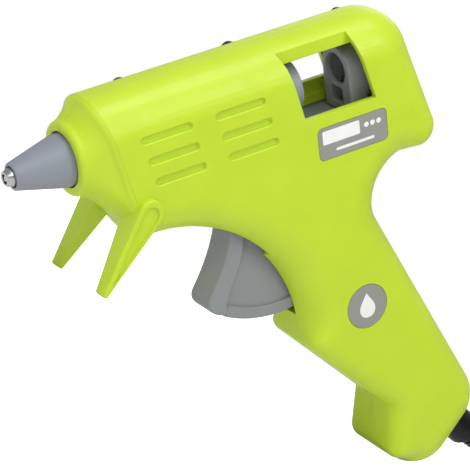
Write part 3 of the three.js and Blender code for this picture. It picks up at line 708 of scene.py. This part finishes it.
# ---------------------------------------------------------------- hot end
def rounded_profile(points, radius=0.3, steps=4):
    """A closed turned profile with its corners rounded."""
    smooth = []
    count = len(points)
    for i, corner in enumerate(points):
        here = Vector(corner)
        before = Vector(points[i - 1])
        after = Vector(points[(i + 1) % count])
        reach = min(radius, (here - before).length * 0.45, (after - here).length * 0.45)
        start = here + (before - here).normalized() * reach
        end = here + (after - here).normalized() * reach
        for step in range(steps + 1):
            t = step / steps
            smooth.append(tuple((1 - t) ** 2 * start + 2 * (1 - t) * t * here + t * t * end))
    return smooth


class GUN_OT_nozzle(bpy.types.Operator):
    """Make the nozzle's insulating cone, its metal point and the valve inside"""

    bl_idname = "gun.nozzle"
    bl_label = "Nozzle"

    def execute(self, context):
        cone = turned("nozzle_cone", rounded_profile([
            (-17.2, 3.1), (-17.2, 4.0), (-2.2, 7.8), (13, 7.9), (13, 9.6), (14.4, 9.6), (14.4, 5.1),
            (-1, 5.1), (-14, 3.2)], 0.5, 6), 96)
        finished(cone, "nozzle", ["nozzle_sleeve"])
        point = turned("nozzle_point", rounded_profile([
            (-19.3, 1.35), (-19.3, 2.15), (-17.5, 2.75), (-14, 2.9), (-1, 4.8), (14.8, 4.8), (14.8, 7.4),
            (18.6, 7.4), (18.6, 4.2), (24, 4.2), (24, 1.7), (-17.4, 1.7)], 0.55, 6), 96)
        finished(point, "steel", ["nozzle_tip"])
        bm = bmesh.new()
        bmesh.ops.create_uvsphere(bm, u_segments=40, v_segments=24, radius=1.3)
        bmesh.ops.translate(bm, verts=bm.verts, vec=(-17.9, 0, 0))
        finished(to_object("valve_bead", bm), "steel", ["valve_ball"])
        spring = coil_wire("nozzle_spring", -16, -8, 0, 1.15, 0.25, 5)
        finished(spring, "steel", ["valve_spring"])
        return {"FINISHED"}


def wire(name, points, radius, sides=12, smooth=True):
    """A round wire or lead through points, as a mesh with closed ends."""
    curve = bpy.data.curves.new(name, "CURVE")
    curve.dimensions = "3D"
    curve.bevel_depth = radius
    curve.bevel_resolution = max(1, sides // 4 - 1)
    curve.use_fill_caps = True
    spline = curve.splines.new("NURBS" if smooth else "POLY")
    spline.points.add(len(points) - 1)
    for point, place in zip(spline.points, points):
        point.co = (*place, 1)
    if smooth:
        spline.order_u = 4
        spline.use_endpoint_u = True
        spline.resolution_u = 4
    carrier = linked(name, curve)
    graph = bpy.context.evaluated_depsgraph_get()
    mesh = bpy.data.meshes.new_from_object(carrier.evaluated_get(graph))
    bpy.data.objects.remove(carrier, do_unlink=True)
    bm = bmesh.new()
    bm.from_mesh(mesh)
    return to_object(name, bm)


def coil_wire(name, x0, x1, z, radius, thick, turns):
    """A compression spring along X with closed ends."""
    points = []
    steps = turns * 24
    for i in range(steps + 1):
        t = i / steps
        ease = min(1, max(0, (t * turns - 0.7) / (turns - 1.4)))
        angle = 2 * math.pi * turns * t
        x = x0 + (x1 - x0) * (0.16 * t + 0.84 * ease)
        points.append((x, radius * math.cos(angle), z + radius * math.sin(angle)))
    return wire(name, points, thick, 8, False)


class GUN_OT_heater(bpy.types.Operator):
    """Make the melt chamber, the heater under it and its clip"""

    bl_idname = "gun.heater"
    bl_label = "Melt chamber and heater"

    def execute(self, context):
        outside = [(19, 0), (19, 8.2), (19.2, 8.4), (20.8, 8.4), (21, 8.2), (21, 7)]
        for i in range(9):
            x = 24 + i * 4.4
            outside += [(x, 7), (x + 0.15, 6.75), (x + 0.65, 6.75), (x + 0.8, 7)]
        outside += [(62.7, 7), (63, 6.7), (63, 0)]
        chamber = turned("chamber", outside)
        pad = bevelled(block("pad", 26, 52, -6.2, 6.2, -10.2, -4), 0.4, 3)
        bore = turned("stick bore", [(18, 0), (18, 4.5), (24.6, 4.5), (26, 3.8), (62, 3.8), (63.2, 4.4),
                                     (64, 4.4), (64, 0)])
        cut(joined(chamber, pad), bore)
        finished(chamber, "aluminium", ["melt_chamber"])
        for node in ("upper_electrode", "lower_electrode"):
            finer_copy(node, "brass", 0.12)
        finer_copy("ptc_heater", "ceramic", 0.25)
        finer_copy("insulating_film", "film", 0.08)
        finer_copy("heater_clip", "steel", 0.25)
        return {"FINISHED"}


# ---------------------------------------------------------------- feed
class GUN_OT_feed(bpy.types.Operator):
    """Make the feed: inlet sleeve, guide floor, carriage, gripper and return spring"""

    bl_idname = "gun.feed"
    bl_label = "Stick feed"

    def execute(self, context):
        sleeve = turned("inlet_guide", rounded_profile(
            [(64, 4.4), (64, 8.2), (74.3, 8.2), (74.3, 6.6), (73.2, 4.2), (66, 4.2)], 0.45, 5), 96)
        finished(sleeve, "nozzle", ["inlet_sleeve"])
        floor = block("feed_floor", 69.5, 104, -10.8, 10.8, GUIDE_TOP - 1.6, GUIDE_TOP)
        cut(floor, block("slot", 82, 110, -2, 2, GUIDE_TOP - 3, GUIDE_TOP + 1))
        bevelled(floor, 0.25, 3)
        finished(floor, "nozzle", ["feed_guide"])
        self.carriage()
        self.gripper()
        spring = coil_wire("trigger_spring", 102.3, 107.8, -17.6, 1.7, 0.35, 5)
        finished(spring, "steel", ["return_spring"])
        return {"FINISHED"}

    def carriage(self):
        """The arched block that pushes the stick, with its drawbar and fork."""
        front, rear, half = FEED_FRONT, FEED_REAR, FEED_HALF
        outline = [(-half, GUIDE_TOP + 0.3), (half, GUIDE_TOP + 0.3)] + arc(0, 0, half, 0, 180, 40)
        arch = along_x("carriage", outline, front, rear)
        bevelled(arch, 0.7, 4, 40)
        bar_top, bar_bottom = -16.3, -19.2
        x, z = DRIVE
        parts = [
            block("keel", front + 1, rear - 1, -1.6, 1.6, bar_bottom, GUIDE_TOP + 1),
            bevelled(block("bar", x + 3, rear - 1, -3, 3, bar_bottom, bar_top), 0.3),
            bevelled(block("fork", x - 4.4, x + 4.4, -4.6, 4.6, z - 3.4, bar_top), 0.4),
        ]
        hole = turned("hole", [(front - 1, 0), (front - 1, 6), (front + 0.1, 5), (front + 0.7, 4.7),
                               (front + 1.6, 4.7), (front + 1.6, 6), (rear - 1.5, 6), (rear - 1.5, 4.4),
                               (rear + 1, 4.4), (rear + 1, 0)])
        cut(
            arch, hole,
            block("pocket", front + 2, rear - 3, -2.9, 2.9, -11, 0),
            bevelled(block("mouth", front - 1, front + 3, -2.9, 2.9, -10.6, -5.4), 0.6, 4))
        joined(arch, *parts)
        cut(
            arch,
            block("arm slot", x - 5, x + 3, -2.3, 2.3, z - 4, bar_top + 1),
            block("lower slot", x - 5, x + 5, -2.3, 2.3, z - 4, bar_bottom - 0.3),
            block("pin slot", x - 1.65, x + 1.65, -5, 5, z - 4, z + 1.7),
            cross_bar("gripper hole", *JAW, JAW_BORE, -8, 8))
        finished(arch, "trigger", ["feed_carriage"], "feed")
        finer_copy("gripper_pin", "steel", 0.15, "feed")

    def gripper(self):
        """The toothed steel lever that bites the stick."""
        teeth = [(93.4, -5.2), (94.2, -3.9), (94.5, -4.6), (95, -4.9), (95.8, -3.9), (96.1, -4.6),
                 (96.6, -4.9), (97.4, -4.3), (98.8, -7.2), (98.4, -9.2), (96.4, -9.4), (93.6, -7.2)]
        lever = prism("gripper_lever", teeth, -2.5, 2.5)
        cut(lever, cross_bar("hole", *JAW, JAW_BORE, -4, 4))
        bevelled(lever, 0.12, 2, 40)
        finished(lever, "steel", ["stick_gripper"], "gripper")


# ---------------------------------------------------------------- trigger
def on_rim(radius, degrees):
    angle = math.radians(degrees)
    return (PIVOT[0] + radius * math.cos(angle), PIVOT[1] + radius * math.sin(angle))


class GUN_OT_trigger(bpy.types.Operator):
    """Make the trigger with its curved lower rim, and its pivot pin"""

    bl_idname = "gun.trigger"
    bl_label = "Trigger"

    def execute(self, context):
        outline = bezier(
            (47.8, -31), ((47, -40), (42.4, -48.4), (37.4, -54.8)),
            ((35.4, -57.6), (37.2, -60.4), (41, -61.8)),
            ((43, -62.4), (42.8, -60), (43.2, -58.6)), ((44.6, -54), (48.8, -49.6), (49.8, -45)),
            ((50.8, -41.4), (52, -38.6), (52.6, -31)))
        blade = bevelled(prism("trigger_lever", outline, -5.4, 5.4), 2.2, 7, 50)
        sweep = [-121 + 44 * i / 40 for i in range(41)]
        px, pz = PIVOT
        dx, dz = DRIVE
        rim = prism("rim", [on_rim(RIM_R, a) for a in sweep]
                    + [on_rim(RIM_R - 3.8, a) for a in reversed(sweep)], -4.25, 4.25)
        web = prism("web", [on_rim(RIM_R - 1, a) for a in sweep]
                    + [(px + 3.6, pz - 2), (px - 3.6, pz - 1), (46.5, -38), (47, -46), (41, -57)], -3.4, 3.4)
        arm = prism("arm", [(px - 3.4, pz), (px + 3.4, pz), (dx + 1.9, dz + 1), (dx, dz + 1.6),
                            (dx - 1.9, dz + 1)], -1.9, 1.9)
        joined(blade, bevelled(rim, 0.9, 5), web, cross_bar("hub", *PIVOT, 4.2, -5.2, 5.2, 48), arm,
               cross_bar("drive pin", *DRIVE, 1.3, -4.5, 4.5))
        cut(blade, cross_bar("pin hole", *PIVOT, PIN_BORE, -8, 8))
        finished(blade, "trigger", ["trigger"], "trigger")
        finer_copy("trigger_pivot_pin", "steel", 0.25)
        return {"FINISHED"}


# ---------------------------------------------------------------- label and badge
class GUN_OT_plates(bpy.types.Operator):
    """Make the side label and the handle badge with plain printed marks"""

    bl_idname = "gun.plates"
    bl_label = "Label and badge"

    def execute(self, context):
        x, z, width, height, radius = LABEL
        face = -HALF_WIDTH - 0.05
        label = prism("label_plate", box_points(x, z, width, height, radius, 10), face, face + 0.5)
        bevelled(label, 0.12, 2, 50)
        finished(label, "label", ["side_label"])
        badge = bevelled(cross_bar("badge_plate", *BADGE, face, face + 0.5, 96), 0.12, 2, 50)
        finished(badge, "label", ["handle_badge"])
        top = face - 0.03
        panel = prism("panel", box_points(x - width * 0.17, z + 1.8, width * 0.54, 4.2, 0.5), top, face + 0.1)
        dots = [cross_bar("dot", x + width * (0.2 + 0.09 * i), z + 1.8, 0.8, top, face + 0.1)
                for i in range(3)]
        line = prism("line", box_points(x + width * 0.02, z - 2.7, width * 0.56, 0.9, 0.4), top, face + 0.1)
        self.printed("label_print", [panel, *dots, line])
        cx, cz = BADGE[0], BADGE[1]
        drop = prism("drop", bezier(
            (cx, cz + 4.4), ((cx + 1.2, cz + 2.1), (cx + 2.7, cz + 0.9), (cx + 2.7, cz - 1)),
            ((cx + 2.7, cz - 2.6), (cx + 1.5, cz - 3.7), (cx, cz - 3.7)),
            ((cx - 1.5, cz - 3.7), (cx - 2.7, cz - 2.6), (cx - 2.7, cz - 1)),
            ((cx - 2.7, cz + 0.9), (cx - 1.2, cz + 2.1), (cx, cz + 4.4)))[:-1], top, face + 0.1)
        self.printed("badge_print", [drop])
        return {"FINISHED"}

    def printed(self, name, marks):
        """Pale marks that lie on a plate."""
        made = joined(*marks)
        made.name = name
        finished(made, "print")


# ---------------------------------------------------------------- screws
def screw_tree():
    """A cross-recess screw on each point of a mesh, its shank along -Z before the turn."""
    tree = bpy.data.node_groups.new("Screws on points", "GeometryNodeTree")
    sockets = tree.interface
    sockets.new_socket("Geometry", in_out="INPUT", socket_type="NodeSocketGeometry")
    sockets.new_socket("Geometry", in_out="OUTPUT", socket_type="NodeSocketGeometry")
    for name, value in (("Head radius", HEAD_R), ("Head height", HEAD_HEIGHT), ("Shank radius", 1.4),
                        ("Shank length", 18.0), ("Recess width", 0.8), ("Recess length", 3.3)):
        socket = sockets.new_socket(name, in_out="INPUT", socket_type="NodeSocketFloat")
        socket.default_value = value
    sockets.new_socket("Material", in_out="INPUT", socket_type="NodeSocketMaterial")
    nodes = tree.nodes
    link = tree.links.new
    given = nodes.new("NodeGroupInput")

    def cylinder(radius, depth, sides):
        node = nodes.new("GeometryNodeMeshCylinder")
        node.inputs["Vertices"].default_value = sides
        link(given.outputs[radius], node.inputs["Radius"])
        link(given.outputs[depth], node.inputs["Depth"])
        return node.outputs["Mesh"]

    def moved(mesh, z_value=None, factor=1.0, turn=0.0):
        node = nodes.new("GeometryNodeTransform")
        link(mesh, node.inputs["Geometry"])
        node.inputs["Rotation"].default_value = (0, 0, turn)
        if z_value:
            scale = nodes.new("ShaderNodeMath")
            scale.operation = "MULTIPLY"
            scale.inputs[1].default_value = factor
            link(given.outputs[z_value], scale.inputs[0])
            vector = nodes.new("ShaderNodeCombineXYZ")
            link(scale.outputs[0], vector.inputs["Z"])
            link(vector.outputs[0], node.inputs["Translation"])
        return node.outputs["Geometry"]

    bars = []
    for turn in (0, math.pi / 2):
        size = nodes.new("ShaderNodeCombineXYZ")
        link(given.outputs["Recess length"], size.inputs["X"])
        link(given.outputs["Recess width"], size.inputs["Y"])
        link(given.outputs["Head height"], size.inputs["Z"])
        cube = nodes.new("GeometryNodeMeshCube")
        link(size.outputs[0], cube.inputs["Size"])
        bars.append(moved(cube.outputs["Mesh"], "Head height", 0.5, turn))
    recess = nodes.new("GeometryNodeMeshBoolean")
    recess.operation = "DIFFERENCE"
    link(cylinder("Head radius", "Head height", 40), recess.inputs["Mesh 1"])
    for bar in bars:
        link(bar, recess.inputs["Mesh 2"])
    screw = nodes.new("GeometryNodeJoinGeometry")
    link(moved(cylinder("Shank radius", "Shank length", 24), "Shank length", -0.5), screw.inputs[0])
    link(recess.outputs["Mesh"], screw.inputs[0])
    placed = nodes.new("GeometryNodeInstanceOnPoints")
    link(given.outputs["Geometry"], placed.inputs["Points"])
    link(screw.outputs[0], placed.inputs["Instance"])
    placed.inputs["Rotation"].default_value = (-math.pi / 2, 0, 0)
    real = nodes.new("GeometryNodeRealizeInstances")
    link(placed.outputs[0], real.inputs[0])
    painted = nodes.new("GeometryNodeSetMaterial")
    link(real.outputs[0], painted.inputs["Geometry"])
    link(given.outputs["Material"], painted.inputs["Material"])
    result = nodes.new("NodeGroupOutput")
    link(painted.outputs[0], result.inputs[0])
    return tree


class GUN_OT_screws(bpy.types.Operator):
    """Make the housing screws and the cord clamp with its two screws"""

    bl_idname = "gun.screws"
    bl_label = "Screws and cord clamp"

    def execute(self, context):
        mesh = bpy.data.meshes.new("screws")
        mesh.from_pydata([(x, (10.7 if z > 0 else HALF_WIDTH - 1.3) + HEAD_HEIGHT / 2, z)
                          for x, z in SCREWS], [], [])
        screws = linked("screws", mesh)
        tree = screw_tree()
        modifier = screws.modifiers.new("Screws", "NODES")
        modifier.node_group = tree
        inputs = {item.name: item.identifier for item in tree.interface.items_tree if item.in_out == "INPUT"}
        modifier[inputs["Head radius"]] = HEAD_R
        modifier[inputs["Material"]] = finish("dark_steel")
        settled(screws)
        bevelled(screws, 0.18, 3, 50)
        finished(screws, "dark_steel", [f"housing_screw_{i + 1}" for i in range(len(SCREWS))])
        finer_copy("cord_clamp", "black", 0.35)
        for i in (1, 2):
            finer_copy(f"clamp_screw_{i}", "steel", 0.2)
        return {"FINISHED"}


# ---------------------------------------------------------------- wiring
# both leads' way from the chamber down the handle: x, distance from the middle, z
LEAD_WAY = (
    (64, 7, -15), (68, 7.8, -18.4), (72, 8.2, -20.5), (78, 8.3, -21.6), (82, 8.2, -22.5), (86, 8, -24),
    (88.5, 7.8, -27), (89.8, 7.4, -31.2), (90.5, 7, -36), (92, 6, -46), (97, 5, -60), (103, 4, -78),
    (108, 3, -96), (111, 2, -107))
SHEATH_IN = 14.0  # the cord's sheath ends this far inside the butt


class GUN_OT_wiring(bpy.types.Operator):
    """Make the inner leads, their terminals and the end of the cord's sheath"""

    bl_idname = "gun.wiring"
    bl_label = "Wiring"

    def execute(self, context):
        end_x = CORD_EXIT[0] - SHEATH_IN * math.cos(EXIT_TURN)
        end_z = CORD_EXIT[1] + SHEATH_IN * math.sin(EXIT_TURN)
        for side, top, node, look in ((1, -10.75, "live", "brown"), (-1, -13.85, "neutral", "blue")):
            places = ((58.6, 4.9, top), (61, 5.6, top - 1.2), *LEAD_WAY, (end_x, 1.3, end_z))
            lead = wire(f"{node}_wire", [(x, side * y, z) for x, y, z in places], 0.9, 16)
            finished(lead, look, [f"{node}_lead"])
            finer_copy(f"{node}_terminal", "brass", 0.2)
        finer_copy("cord_sheath_end", "rubber", 0.3)
        return {"FINISHED"}


# ---------------------------------------------------------------- cord
HANK_X, HANK_RUN, HANK_INNER, HANK_OUTER, HANK_LOW = 187.5, 62.7, 15.0, 20.0, 0.9
HANK_TOP = HANK_LOW + 6 * CORD_R
PLUG_Y, PLUG_Z, PLUG_FACE, PIN_SPREAD = -5.0, 22.9, 257, 9.3
TO_HANK = ((130.3, 0, 15.6), (138, 0, 14.7), (146, -2.6, 10.6), (154, -7.4, 6.4), (162, -12.4, 3.6),
           (170, -16.6, 2.8), (178, -19, 3))
FROM_HANK = ((193, -14.7, 13.7), (199, -13, 15.2), (205, -10.2, 17.7), (211, -7.2, 20.5), (216, -5.5, 22.2),
             (220.5, -5, 22.9))


def hank_turns():
    """The folded turns: straight runs with round ends, side by side and on each other."""
    turns = [(HANK_OUTER, 0), (HANK_INNER, 0), (HANK_INNER, 1), (HANK_OUTER, 1), (HANK_OUTER, 2),
             (HANK_INNER, 2)]
    points = []
    for k, (radius, layer) in enumerate(turns):
        low = HANK_LOW + CORD_R + layer * 2 * CORD_R
        following, layer_after = turns[k + 1] if k + 1 < len(turns) else turns[k]
        high = HANK_LOW + CORD_R + layer_after * 2 * CORD_R
        far = HANK_X + HANK_RUN
        points += [(HANK_X + HANK_RUN * i / 4, -radius, low) for i in range(4)]
        points += [(far + y, z, low) for y, z in arc(0, 0, radius, -90, 90, 12)]
        points += [(far - HANK_RUN * i / 4, radius, low) for i in range(1, 4)]
        for i in range(12):
            t = i / 12
            across = radius + (following - radius) * t
            height = low + (high - low) * (3 * t * t - 2 * t ** 3)
            angle = math.radians(90 + 180 * t)
            points.append((HANK_X + across * math.cos(angle), across * math.sin(angle), height))
    return points + [(HANK_X, -HANK_INNER, HANK_LOW + 5 * CORD_R)]


class GUN_OT_cord(bpy.types.Operator):
    """Make the mains lead, its tapered strain relief, the tie and the plug"""

    bl_idname = "gun.cord"
    bl_label = "Mains lead and plug"

    def execute(self, context):
        settings = context.scene.gun_cord
        places = [Vector(p) / 1000 for p in (*TO_HANK, *hank_turns(), *FROM_HANK)]
        curve = bpy.data.curves.new("lead", "CURVE")
        curve.dimensions = "3D"
        curve.bevel_depth = settings.diameter / 2
        curve.bevel_resolution = 3
        curve.use_fill_caps = True
        spline = curve.splines.new("POLY")
        smooth = self.through(places)
        spline.points.add(len(smooth) - 1)
        for point, place in zip(spline.points, smooth):
            point.co = (*place, 1)
        lead = linked("lead", curve)
        curve.materials.append(finish("rubber"))
        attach(lead, "housing")
        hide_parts("mains_cord", "cord_hank", "cord_end")
        on_lead = [self.relief(), self.tie(), self.plug(), self.pins()]
        return {"FINISHED"}

    def through(self, places, steps=4):
        """Points of a smooth line through the given ones."""
        points = []
        for i in range(len(places) - 1):
            a = places[max(i - 1, 0)]
            b, c = places[i], places[i + 1]
            d = places[min(i + 2, len(places) - 1)]
            for step in range(steps):
                t = step / steps
                points.append(0.5 * (2 * b + (c - a) * t + (2 * a - 5 * b + 4 * c - d) * t * t
                                     + (3 * b - a - 3 * c + d) * t ** 3))
        return points + [places[-1]]

    def relief(self):
        """The black strain relief: a plain collar, then ribs that taper to the lead."""
        profile = [(-5.6, 0), (-5.6, 5.7), (-5.3, 6), (-3.5, 6), (-3.2, 5.7), (-3.2, 4.6), (0.5, 4.6),
                   (0.5, 5.2), (0.8, 5.4), (9.6, 5.4), (10.2, 5.15), (10.4, 4.6)]
        ribs = 9
        for i in range(ribs):
            start = 11.2 + i * 2.5
            radius = 3.9 - 0.9 * (start - 11.2) / 24
            profile += [(start - 0.55, radius - 0.75), (start - 0.3, radius - 0.1), (start, radius),
                        (start + 1.2, radius - 0.05), (start + 1.5, radius - 0.15),
                        (start + 1.75, radius - 0.75)]
        profile += [(34.5, 3.1), (35.7, 3.0), (36, 2.75), (36, 0)]
        made = along_exit(turned("cord_relief", profile, 64))
        return finished(made, "black", ["strain_relief"])

    def tie(self):
        """A flat strap round the hank."""
        low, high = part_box("cord_tie")
        middle = (HANK_LOW + HANK_TOP) / 2
        half = HANK_OUTER + CORD_R + 0.3
        outside = box_points(0, middle, 2 * (half + 0.55), HANK_TOP - HANK_LOW + 0.6 + 1.1, 2.6, 8)
        inside = box_points(0, middle, 2 * half, HANK_TOP - HANK_LOW + 0.6, 2.1, 8)
        x0, x1 = low[0] * 1000, high[0] * 1000
        band = along_x("strap", outside, x0, x1)
        cut(band, along_x("opening", inside, x0 - 1, x1 + 1))
        bevelled(band, 0.12, 2, 50)
        return finished(band, "black", ["cord_tie"], place=MM)

    def plug(self):
        """A flat moulded two-pin plug with a ribbed neck."""
        rear, body, face = 221, 231, PLUG_FACE
        layers = [(rear, 3.0, 3.0), (rear + 0.4, 3.5, 3.5)]
        for i in range(4):
            x = rear + 1 + i * 2.2
            layers += [(x, 3.7, 3.7), (x + 1.1, 3.8, 3.8), (x + 1.25, 3.2, 3.2), (x + 1.95, 3.2, 3.2)]
        layers += [(body - 0.6, 4.6, 4.2), (body, 7.6, 4.9), (body + 1.4, 9, 5.2), (body + 5, 11, 5.6),
                   (face - 10, 15.6, 6.2), (face - 8, 16.1, 6.3), (face - 3, 17.3, 6.7),
                   (face - 0.7, 17.5, 6.75),
                   (face - 0.2, 17.3, 6.55), (face, 16.9, 6.2)]
        rings = []
        for x, wide, high in layers:
            power = 0.5 if x >= body - 1 else 1.0
            ring = []
            for i in range(64):
                angle = 2 * math.pi * i / 64
                across, up = math.cos(angle), math.sin(angle)
                ring.append((x, PLUG_Y + wide * math.copysign(abs(across) ** power, across),
                             PLUG_Z + high * math.copysign(abs(up) ** power, up)))
            rings.append(ring)
        made = skinned("plug", rings)
        return finished(made, "black", ["plug_body"], place=MM, sharp=50)

    def pins(self):
        """The plug's two round pins."""
        steps = 6
        start, end, radius = PLUG_FACE + 0.1, PLUG_FACE + 19, 2
        corners = rounded_profile([(start, 0), (start, radius), (end, radius), (end, 0)], 0.9, steps)
        # what is kept of the two corners on the axis leaves a narrow hole down the pin
        profile = corners[steps - 1:-steps]
        made = None
        for side in (-1, 1):
            pin = turned("plug_pins", profile, 40)
            pin.data.transform(Matrix.Translation((0, PLUG_Y + side * PIN_SPREAD, PLUG_Z)))
            made = joined(made, pin) if made else pin
        return finished(made, "steel", ["plug_pin_1", "plug_pin_2"], place=MM)


# ---------------------------------------------------------------- stage
LOOK_AT = (33.4, -31.4, -23.8)  # in the barrel's own frame
FLOOR_GLOW, FLOOR_SEEN = 0.12, 0.9
SKY_GLOW = 0.42
LIGHT_DISTANCE = 0.9
# name, way from the gun, size in metres, power in watts
LIGHTS = (
    ("key", (-0.5, -0.2, 1.0), 0.5, 3.4),
    ("side", (0.0, -0.85, 0.72), 0.5, 2.6),
    ("fill", (-0.7, -0.65, 0.5), 0.4, 1.5),
    ("back", (0.5, 0.9, 0.8), 0.6, 1.0),
)


class GUN_OT_stage(bpy.types.Operator):
    """Make the camera, the floor and the soft lights"""

    bl_idname = "gun.stage"
    bl_label = "Stage"

    def execute(self, context):
        settings = context.scene.gun_stage
        scene = context.scene
        target = PLACE @ Vector(LOOK_AT)
        toward = Vector((math.sin(settings.azimuth), -math.cos(settings.azimuth), -0.001)).normalized()
        right = Vector((math.cos(settings.azimuth), math.sin(settings.azimuth), 0))
        level = Matrix((right, toward.cross(right), toward)).transposed().to_4x4()
        data = bpy.data.cameras.new("camera")
        data.lens = settings.lens
        data.sensor_width = 36
        data.clip_start = 0.01
        camera = linked("camera", data)
        camera.matrix_world = (Matrix.Translation(target + toward * settings.distance) @ level
                               @ Matrix.Rotation(settings.roll, 4, "Z"))
        scene.camera = camera
        self.floor()
        self.lights(scene, settings.light)
        scene.view_settings.view_transform = "Standard"
        return {"FINISHED"}

    def floor(self):
        """A pale floor without edges in view."""
        bm = bmesh.new()
        bmesh.ops.create_circle(bm, cap_ends=True, radius=14, segments=64)
        mesh = bpy.data.meshes.new("floor")
        bm.to_mesh(mesh)
        bm.free()
        floor = linked("floor", mesh)
        made = Nodes("floor white")
        made.tinted((0.8, 0.8, 0.8), made.noise(3, 1), 0.004)
        adjusted(made.shader, {"Roughness": 0.9, "Specular IOR Level": 0.1, "Emission Color": (1, 1, 1, 1)})
        made.link(level_by_ray(made.tree, FLOOR_GLOW, FLOOR_SEEN), made.shader, "Emission Strength")
        mesh.materials.append(made.material)

    def lights(self, scene, strength):
        """White surroundings and four large soft lights."""
        world = bpy.data.worlds.new("surroundings")
        world.use_nodes = True
        tree = world.node_tree
        shade = tree.nodes["Background"]
        shade.inputs["Color"].default_value = (1, 1, 1, 1)
        tree.links.new(level_by_ray(tree, SKY_GLOW * strength, 1.0), shade.inputs["Strength"])
        scene.world = world
        centre = Vector((0, 0, 0.06))
        for name, way, size, power in LIGHTS:
            data = bpy.data.lights.new(name, "AREA")
            data.shape = "DISK"
            data.size = size
            data.energy = power * strength
            light = linked(name, data)
            light.location = centre + Vector(way).normalized() * LIGHT_DISTANCE
            light.rotation_euler = (-Vector(way)).to_track_quat("-Z", "Y").to_euler()


# ---------------------------------------------------------------- panel and registration
class GUN_PT_panel(bpy.types.Panel):
    """Lists the gun's settings and pieces"""

    bl_idname = "GUN_PT_panel"
    bl_label = "Glue Gun"
    bl_space_type = "VIEW_3D"
    bl_region_type = "UI"
    bl_category = "Glue Gun"

    def draw(self, context):
        scene = context.scene
        for settings, names in ((scene.gun_finish, ("housing", "nozzle", "trigger", "label", "edge")),
                                (scene.gun_cord, ("length", "diameter")),
                                (scene.gun_stage, ("azimuth", "roll", "distance", "lens", "light"))):
            for name in names:
                self.layout.prop(settings, name)
        for operator in OPERATORS:
            self.layout.operator(operator.bl_idname)


SETTINGS = {"gun_finish": FinishSettings, "gun_cord": CordSettings, "gun_stage": StageSettings}
OPERATORS = (GUN_OT_stage, GUN_OT_cord, GUN_OT_housing, GUN_OT_nozzle, GUN_OT_heater, GUN_OT_feed,
             GUN_OT_trigger, GUN_OT_plates, GUN_OT_screws, GUN_OT_wiring)


def register():
    for item in (*SETTINGS.values(), *OPERATORS, GUN_PT_panel):
        bpy.utils.register_class(item)
    for name, settings in SETTINGS.items():
        setattr(bpy.types.Scene, name, bpy.props.PointerProperty(type=settings))


def unregister():
    for name in SETTINGS:
        delattr(bpy.types.Scene, name)
    for item in (GUN_PT_panel, *reversed(OPERATORS), *SETTINGS.values()):
        bpy.utils.unregister_class(item)


def main():
    register()
    for operator in OPERATORS:
        group, name = operator.bl_idname.split(".")
        getattr(getattr(bpy.ops, group), name)()


if __name__ == "__main__":
    main()
